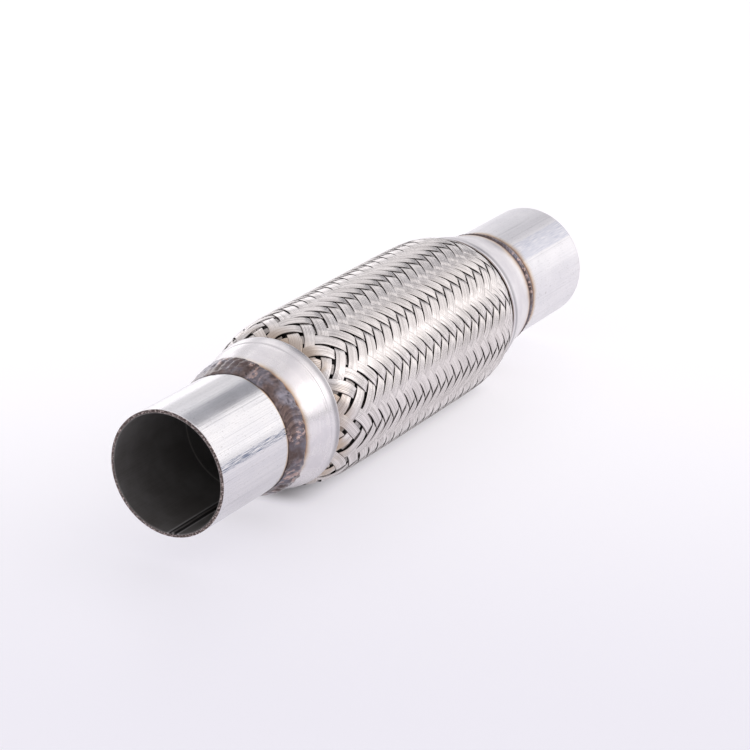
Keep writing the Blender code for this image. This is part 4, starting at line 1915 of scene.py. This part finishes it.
    def build(self) -> list[bpy.types.Object]:
        """Build and dress the braid, in one piece for each kind of ribbon.

        Returns:
            The four groups of twelve like ribbons.
        """
        straight = self._model_ribbon("straight_ribbon")
        groups = []
        for lay in Lay:
            groups += [self._build_group(straight, lay, label) for label in self.kinds]
        bpy.data.objects.remove(straight, do_unlink=True)
        return groups

    def _build_group(self, straight: bpy.types.Object, lay: Lay, label: int) -> bpy.types.Object:
        """Copy one laid ribbon round the pipe and join the copies.

        Args:
            straight: The straight ribbon that each laid one starts as.
            lay: Which way the ribbons wind.
            label: Number of the first ribbon's line through the crossings.

        Returns:
            The finished group.
        """
        Bench.take(straight)
        bpy.ops.object.duplicate()
        first = Bench.name_new(f"braid_{lay.name.lower()}_ribbons_{label}")
        self._lay_ribbon(first, lay, label)
        copies = [first]
        copy_count = 2 * self.ribbons_each_way // self.repeat
        turn = self.repeat * self.column_step
        for number in range(1, copy_count):
            Bench.take(first)
            bpy.ops.object.duplicate()
            copy = bpy.context.object
            bpy.ops.transform.rotate(value=-turn * number, orient_axis="Z",
                                     center_override=(0.0, 0.0, 0.0))
            bpy.ops.object.transform_apply(location=True, rotation=True, scale=True)
            own = np.full(len(copy.data.vertices), float(label + self.repeat * number))
            self._carry(copy, "label", own)
            copies.append(copy)
        Bench.take(*copies)
        bpy.ops.object.join()
        self._place(first, lay)
        self._carry(first, "ribbon", self._carried(first, "label") + 100.0 * (lay is Lay.LEFT))
        rims = tuple(self.envelope.height(self.envelope.rim, end) for end in End)
        BraidWire(f"{first.name}_wire", self.wires, rims).build().put_on(first)
        Bench.fit(first, "braid", "outer_braid")
        return first


@dataclass(frozen=True)
class InnerPieces:
    """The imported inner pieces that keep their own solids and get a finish.

    Args:
        line_pitches: The pieces' nodes, and their fine lines per metre.
        sleeve_pale: Colour of the sleeves' cleaner sheet.
        sleeve_scale: Colour of the scale on the sleeves.
        sleeve_metallic: Metallic share of the sleeves.
    """

    line_pitches: tuple[tuple[str, float], ...] = (
        ("bellows", 900.0), ("inlet_liner_sleeve", 1800.0), ("outlet_liner_sleeve", 1800.0),
        ("interlock_liner", 1400.0))
    sleeve_pale: Colour = (0.60, 0.59, 0.58)
    sleeve_scale: Colour = (0.30, 0.29, 0.28)
    sleeve_metallic: float = 0.1

    def dress(self) -> None:
        """Give each inner piece its own dull finish."""
        for node, pitch in self.line_pitches:
            finish = HiddenSteel(f"{node}_dull_steel", pitch)
            if node.endswith("sleeve"):
                finish = replace(finish, pale=self.sleeve_pale, scale=self.sleeve_scale,
                                 metallic=self.sleeve_metallic)
            finish.build().put_on(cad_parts[node])
            log.info("%s: packed solid kept, finish added", node)


@dataclass(frozen=True)
class PhotoCamera:
    """The camera at the photograph's angle, fitted to the outlines of rims and cut faces.

    Args:
        place: Where the camera stands.
        right: Direction of the picture's right.
        down: Direction of the picture's lower edge.
        ahead: Viewing direction.
        lens: Focal length in millimetres.
        sensor: Width of the sensor in millimetres.
    """

    place: Vector = Vector((-0.55858, -0.40341, 1.09349))
    right: Vector = Vector((-0.86271, 0.0, -0.50570))
    down: Vector = Vector((-0.17735, 0.93649, 0.30253))
    ahead: Vector = Vector((0.47358, 0.35068, -0.80792))
    lens: float = 135.02
    sensor: float = 36.0

    def set_up(self) -> bpy.types.Object:
        """Add the camera to the scene.

        Returns:
            The camera.
        """
        data = bpy.data.cameras.new("photo_camera")
        data.lens = self.lens
        data.sensor_width = self.sensor
        data.clip_start = 0.01
        data.clip_end = 20.0
        camera = bpy.data.objects.new("photo_camera", data)
        bpy.context.collection.objects.link(camera)
        turn = Matrix((self.right, -self.down, -self.ahead)).transposed().to_4x4()
        camera.matrix_world = Matrix.Translation(self.place) @ turn
        bpy.context.scene.camera = camera
        return camera


@dataclass(frozen=True)
class TentPanel:
    """A bright or dark panel of the tent, with soft edges, by its direction from the pipe.

    Args:
        azimuth: Direction of its middle round Z from +X, in degrees.
        half_width: Half its width, in degrees.
        elevation: Height of its middle towards +Z, in degrees.
        half_height: Half its height, in degrees.
        edge: Width of its soft edges, in degrees.
        light: Its colour, brighter than 1 for a lit panel.
    """

    azimuth: float
    half_width: float
    elevation: float
    half_height: float
    edge: float
    light: Colour

    def paint(self, wiring: Wiring, azimuth: Socket, elevation: Socket, under: Socket) -> Socket:
        """Lay the panel over the tent's colour.

        Args:
            wiring: The surroundings' wiring.
            azimuth: Azimuth of a direction, in radians.
            elevation: Elevation of a direction, in radians.
            under: The tent's colour so far.

        Returns:
            The colour with the panel.
        """
        turned = wiring.math("SUBTRACT", azimuth, math.radians(self.azimuth))
        turned = wiring.math("ABSOLUTE", wiring.math("WRAP", turned, -math.pi, math.pi))
        raised = wiring.apart(elevation, math.radians(self.elevation))
        inside = (wiring.fall(away, math.radians(half - 0.5 * self.edge),
                              math.radians(half + 0.5 * self.edge))
                  for away, half in ((turned, self.half_width), (raised, self.half_height)))
        return wiring.blend(wiring.times(*inside), under, self.light)


@dataclass(frozen=True)
class Studio:
    """A pale table and soft light, turned so that the pipe lies as photographed.

    Args:
        table_height: Where the table touches the barrel, on Y.
        middle: Height of the pipe's middle on Z.
        table_size: Width of the table.
        painted_shadow_reach: How far beside the barrel the table's glow is taken away, as a
            painted shadow.
        painted_shadow_half: Half the painted shadow's length along the barrel.
        painted_shadow_edge: Width of the painted shadow's soft ends.
        glow_way: How fast the table's painted glow grows along X and along Z.
        glow_span: Where on that way it grows.
        paper: The paper's two tones.
        glow: The tones of its painted glow, at the far and the near side.
        panels: Panels of the tent, painted one over another.
    """

    table_height: float
    middle: float
    table_size: float = 6.0
    painted_shadow_reach: float = 0.020
    painted_shadow_half: float = 0.068
    painted_shadow_edge: float = 0.014
    glow_way: tuple[float, float] = (0.505, -0.863)
    glow_span: tuple[float, float] = (-0.42, 0.02)
    paper: tuple[Colour, Colour] = ((0.430, 0.418, 0.446), (0.415, 0.404, 0.430))
    glow: tuple[Colour, Colour] = ((0.46, 0.452, 0.495), (0.62, 0.61, 0.62))
    panels: tuple[TentPanel, ...] = (
        TentPanel(0.0, 190.0, 45.0, 45.0, 40.0, (0.64, 0.63, 0.66)),
        TentPanel(0.0, 190.0, -80.0, 14.0, 10.0, (1.06, 1.04, 1.07)),
        TentPanel(-137.0, 34.0, -55.0, 14.0, 6.0, (1.34, 1.32, 1.32)),
        TentPanel(-178.0, 13.0, -63.0, 9.0, 6.0, (1.70, 1.68, 1.68)),
        TentPanel(-137.0, 30.0, -36.0, 7.0, 6.0, (1.12, 1.09, 1.10)),
        TentPanel(-140.0, 31.0, -10.0, 15.0, 18.0, (1.46, 1.41, 1.40)),
        TentPanel(-70.0, 20.0, -39.0, 5.0, 5.0, (0.95, 0.93, 0.95)),
        TentPanel(-80.0, 15.0, -54.0, 10.0, 6.0, (0.22, 0.23, 0.26)),
        TentPanel(-90.0, 8.0, -46.0, 20.0, 6.0, (0.30, 0.30, 0.33)),
        TentPanel(-56.0, 11.0, -66.0, 6.0, 8.0, (1.15, 1.13, 1.15)),
        TentPanel(-78.0, 26.0, -24.0, 10.0, 12.0, (0.62, 0.60, 0.62)),
        TentPanel(176.0, 12.0, -28.0, 18.0, 8.0, (0.42, 0.41, 0.43)),
        TentPanel(-2.0, 22.0, -41.0, 13.0, 10.0, (1.55, 1.52, 1.55)),
        TentPanel(28.0, 12.0, -58.0, 8.0, 8.0, (1.40, 1.38, 1.40)),
    )

    def set_up(self) -> None:
        """Add the table, the lights and the surroundings."""
        self._lay_table()
        self._hang_light("ceiling_softbox", (0.30, -1.10, -0.60), width=1.2, depth=0.9, power=1.2)
        self._hang_light("side_softbox", (-1.10, -0.50, -0.35), width=0.9, depth=0.7, power=1.0)
        self._paint_surroundings()
        bpy.context.scene.view_settings.view_transform = "Standard"

    def _lay_table(self) -> None:
        """Lay the table, which is seen from its upper side only. Its paper glows as painted light,
        more towards one side, with a painted shadow under the barrel.
        """
        Bench.clear()
        bpy.ops.mesh.primitive_plane_add(size=self.table_size,
                                         location=(0.0, self.table_height, self.middle),
                                         rotation=(0.5 * math.pi, 0.0, 0.0))
        table = Bench.name_new("studio_table")
        bpy.ops.object.transform_apply(location=True, rotation=True, scale=True)
        with Bench.editing():
            bpy.ops.mesh.subdivide(number_cuts=3)
        finish = Finish("table_paper", 0.0)
        wiring = finish.wiring
        place = wiring.object_place
        finish.colour(wiring.blend(wiring.noise(place, 6.0, detail=3.0), *self.paper))
        finish.roughness(0.6)
        x, _, z = wiring.split(place)
        # Painted light: the paper glows, more towards one side. Painted shadow: beside and along
        # the barrel that glow is taken away.
        away = wiring.times_plus(x, self.glow_way[0], wiring.times(z, self.glow_way[1]))
        beside = wiring.fall(wiring.math("ABSOLUTE", x), 0.0, self.painted_shadow_reach, 0.80)
        along = wiring.fall(wiring.apart(z, self.middle), self.painted_shadow_half,
                            self.painted_shadow_half + self.painted_shadow_edge)
        glowing = wiring.blend(wiring.fade(away, *self.glow_span), *self.glow)
        wiring.feed(finish.shader.inputs["Emission Color"],
                    wiring.blend(wiring.times(beside, along), glowing, (0.0, 0.0, 0.0)))
        finish.shader.inputs["Emission Strength"].default_value = 1.0
        sides = wiring.add("ShaderNodeMixShader")
        layers = (wiring.add("ShaderNodeNewGeometry").outputs["Backfacing"],
                  finish.shader.outputs[0], wiring.add("ShaderNodeBsdfTransparent").outputs[0])
        for socket, layer in zip(sides.inputs, layers):
            wiring.feed(socket, layer)
        output = finish.material.node_tree.nodes["Material Output"]
        wiring.feed(output.inputs["Surface"], sides.outputs[0])
        finish.put_on(table)

    def _hang_light(self, name: str, place: tuple[float, float, float], width: float,
                    depth: float, power: float) -> None:
        """Hang a softbox that faces the middle of the pipe.

        Args:
            name: The light's name.
            place: Where it hangs, from the middle of the pipe.
            width: Its width.
            depth: Its depth.
            power: Its power in watts.
        """
        data = bpy.data.lights.new(name, "AREA")
        data.shape = "RECTANGLE"
        data.size = width
        data.size_y = depth
        data.energy = power
        light = bpy.data.objects.new(name, data)
        bpy.context.collection.objects.link(light)
        light.location = Vector(place) + Vector((0.0, 0.0, self.middle))
        light.rotation_mode = "QUATERNION"
        light.rotation_quaternion = (-Vector(place)).to_track_quat("-Z", "Y")

    def _paint_surroundings(self) -> None:
        """Paint the pale tent round the table, with its bright panels and dark gaps."""
        world = bpy.data.worlds.new("studio_tent")
        world.use_nodes = True
        bpy.context.scene.world = world
        wiring = Wiring(world.node_tree)
        direction = wiring.add("ShaderNodeTexCoord").outputs["Generated"]
        x, y, z = wiring.split(direction)
        colour = wiring.ramp(wiring.times_plus(y, -0.5, 0.5), (0.0, (0.84, 0.83, 0.86)),
                             (0.45, (0.90, 0.89, 0.92)), (0.75, (0.88, 0.87, 0.89)),
                             (1.0, (0.84, 0.83, 0.85)))
        azimuth = wiring.math("ARCTAN2", y, x)
        elevation = wiring.math("ARCSINE", z)
        for panel in self.panels:
            colour = panel.paint(wiring, azimuth, elevation, colour)
        background = world.node_tree.nodes["Background"]
        wiring.feed(background.inputs["Color"], colour)
        background.inputs["Strength"].default_value = 1.0


# What the photograph shows of each end: its steel, its cap and its bead.
PIPE_LOOKS = {
    End.INLET: PipeLook(
        pale=(0.77, 0.755, 0.765), line_share=0.8, dulling=0.0, tint_reach=0.0016,
        seam=(0.15, 0.18, 0.26), seam_angle=-165.0, seam_width=0.0030, seam_softness=0.06,
        bore_seam_angle=95.0),
    End.OUTLET: PipeLook(
        pale=(0.83, 0.815, 0.835), line_share=0.45, dulling=0.26, tint_reach=0.0046,
        seam=(0.50, 0.52, 0.61), seam_angle=-131.0, seam_width=0.0086, seam_softness=0.30,
        bore_seam_angle=60.0),
}
CAP_DULLING = {End.INLET: 0.05, End.OUTLET: 0.12}
# How far past the bead's heel the cap's heat tint starts.
TINT_START = {End.INLET: 0.0, End.OUTLET: 0.0008}
# Gap between the braid and the table under it.
TABLE_GAP = 0.0004
BEAD_LOOKS = {
    End.INLET: BeadLook(
        back=((0.0, 0.0), (0.06, 0.24), (0.27, 0.41), (0.47, 0.70), (0.67, 0.92), (0.83, 1.0),
              (0.93, 0.77), (1.0, 0.10)),
        rise=0.00086, ripples=50, ripple_height=0.00036, lumps=0.00015, straying=0.00035, seed=7,
        toe_run=((-180.0, 0.0), (-109.0, 0.0), (-99.0, -0.0003), (-90.0, -0.0011),
                 (-77.0, -0.0020), (-67.0, -0.0026), (-40.0, -0.0020), (0.0, -0.0004),
                 (90.0, 0.0006), (125.0, 0.0014), (142.0, 0.0016), (159.0, 0.0005),
                 (173.0, 0.0001)),
        heel_run=((-180.0, 0.0), (-115.0, 0.0), (-100.0, 0.0008), (-80.0, 0.0026),
                  (-60.0, 0.0043), (-30.0, 0.0036), (10.0, 0.0012), (60.0, 0.0016),
                  (100.0, 0.0026), (130.0, 0.0038), (140.0, 0.0032), (155.0, 0.0010),
                  (167.0, 0.0))),
    End.OUTLET: BeadLook(
        back=tuple((tenth / 10.0, math.sin(math.pi * (tenth / 10.0) ** 1.3))
                   for tenth in range(11)),
        rise=0.00085, ripples=90, ripple_height=0.00014, lumps=0.00006, straying=0.00022,
        seed=17),
}


def main() -> None:
    """Build every piece of the flex pipe, then the studio round it."""
    logging.basicConfig(level=logging.INFO, format="%(name)s: %(message)s")
    envelope = Envelope.from_frame()
    bead_boxes = {End.INLET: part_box("inlet_weld_bead"), End.OUTLET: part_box("outlet_weld_bead")}
    edges = {end: sorted(envelope.height(corner.z, end) for corner in corners)
             for end, corners in bead_boxes.items()}
    for end in End:
        EndPipe(envelope, end, PIPE_LOOKS[end], edges[end][0]).build()
    caps = {end: EndCap(envelope, end, edges[end][1] + TINT_START[end], CAP_DULLING[end])
            for end in End}
    for end in End:
        caps[end].build()
    for end in End:
        WeldBead(envelope, end, caps[end], BEAD_LOOKS[end], *edges[end]).build()
    Braid(envelope).build()
    InnerPieces().dress()
    PhotoCamera().set_up()
    Studio(table_height=envelope.barrel_radius + TABLE_GAP,
           middle=0.5 * envelope.length).set_up()


if __name__ == "__main__":
    main()
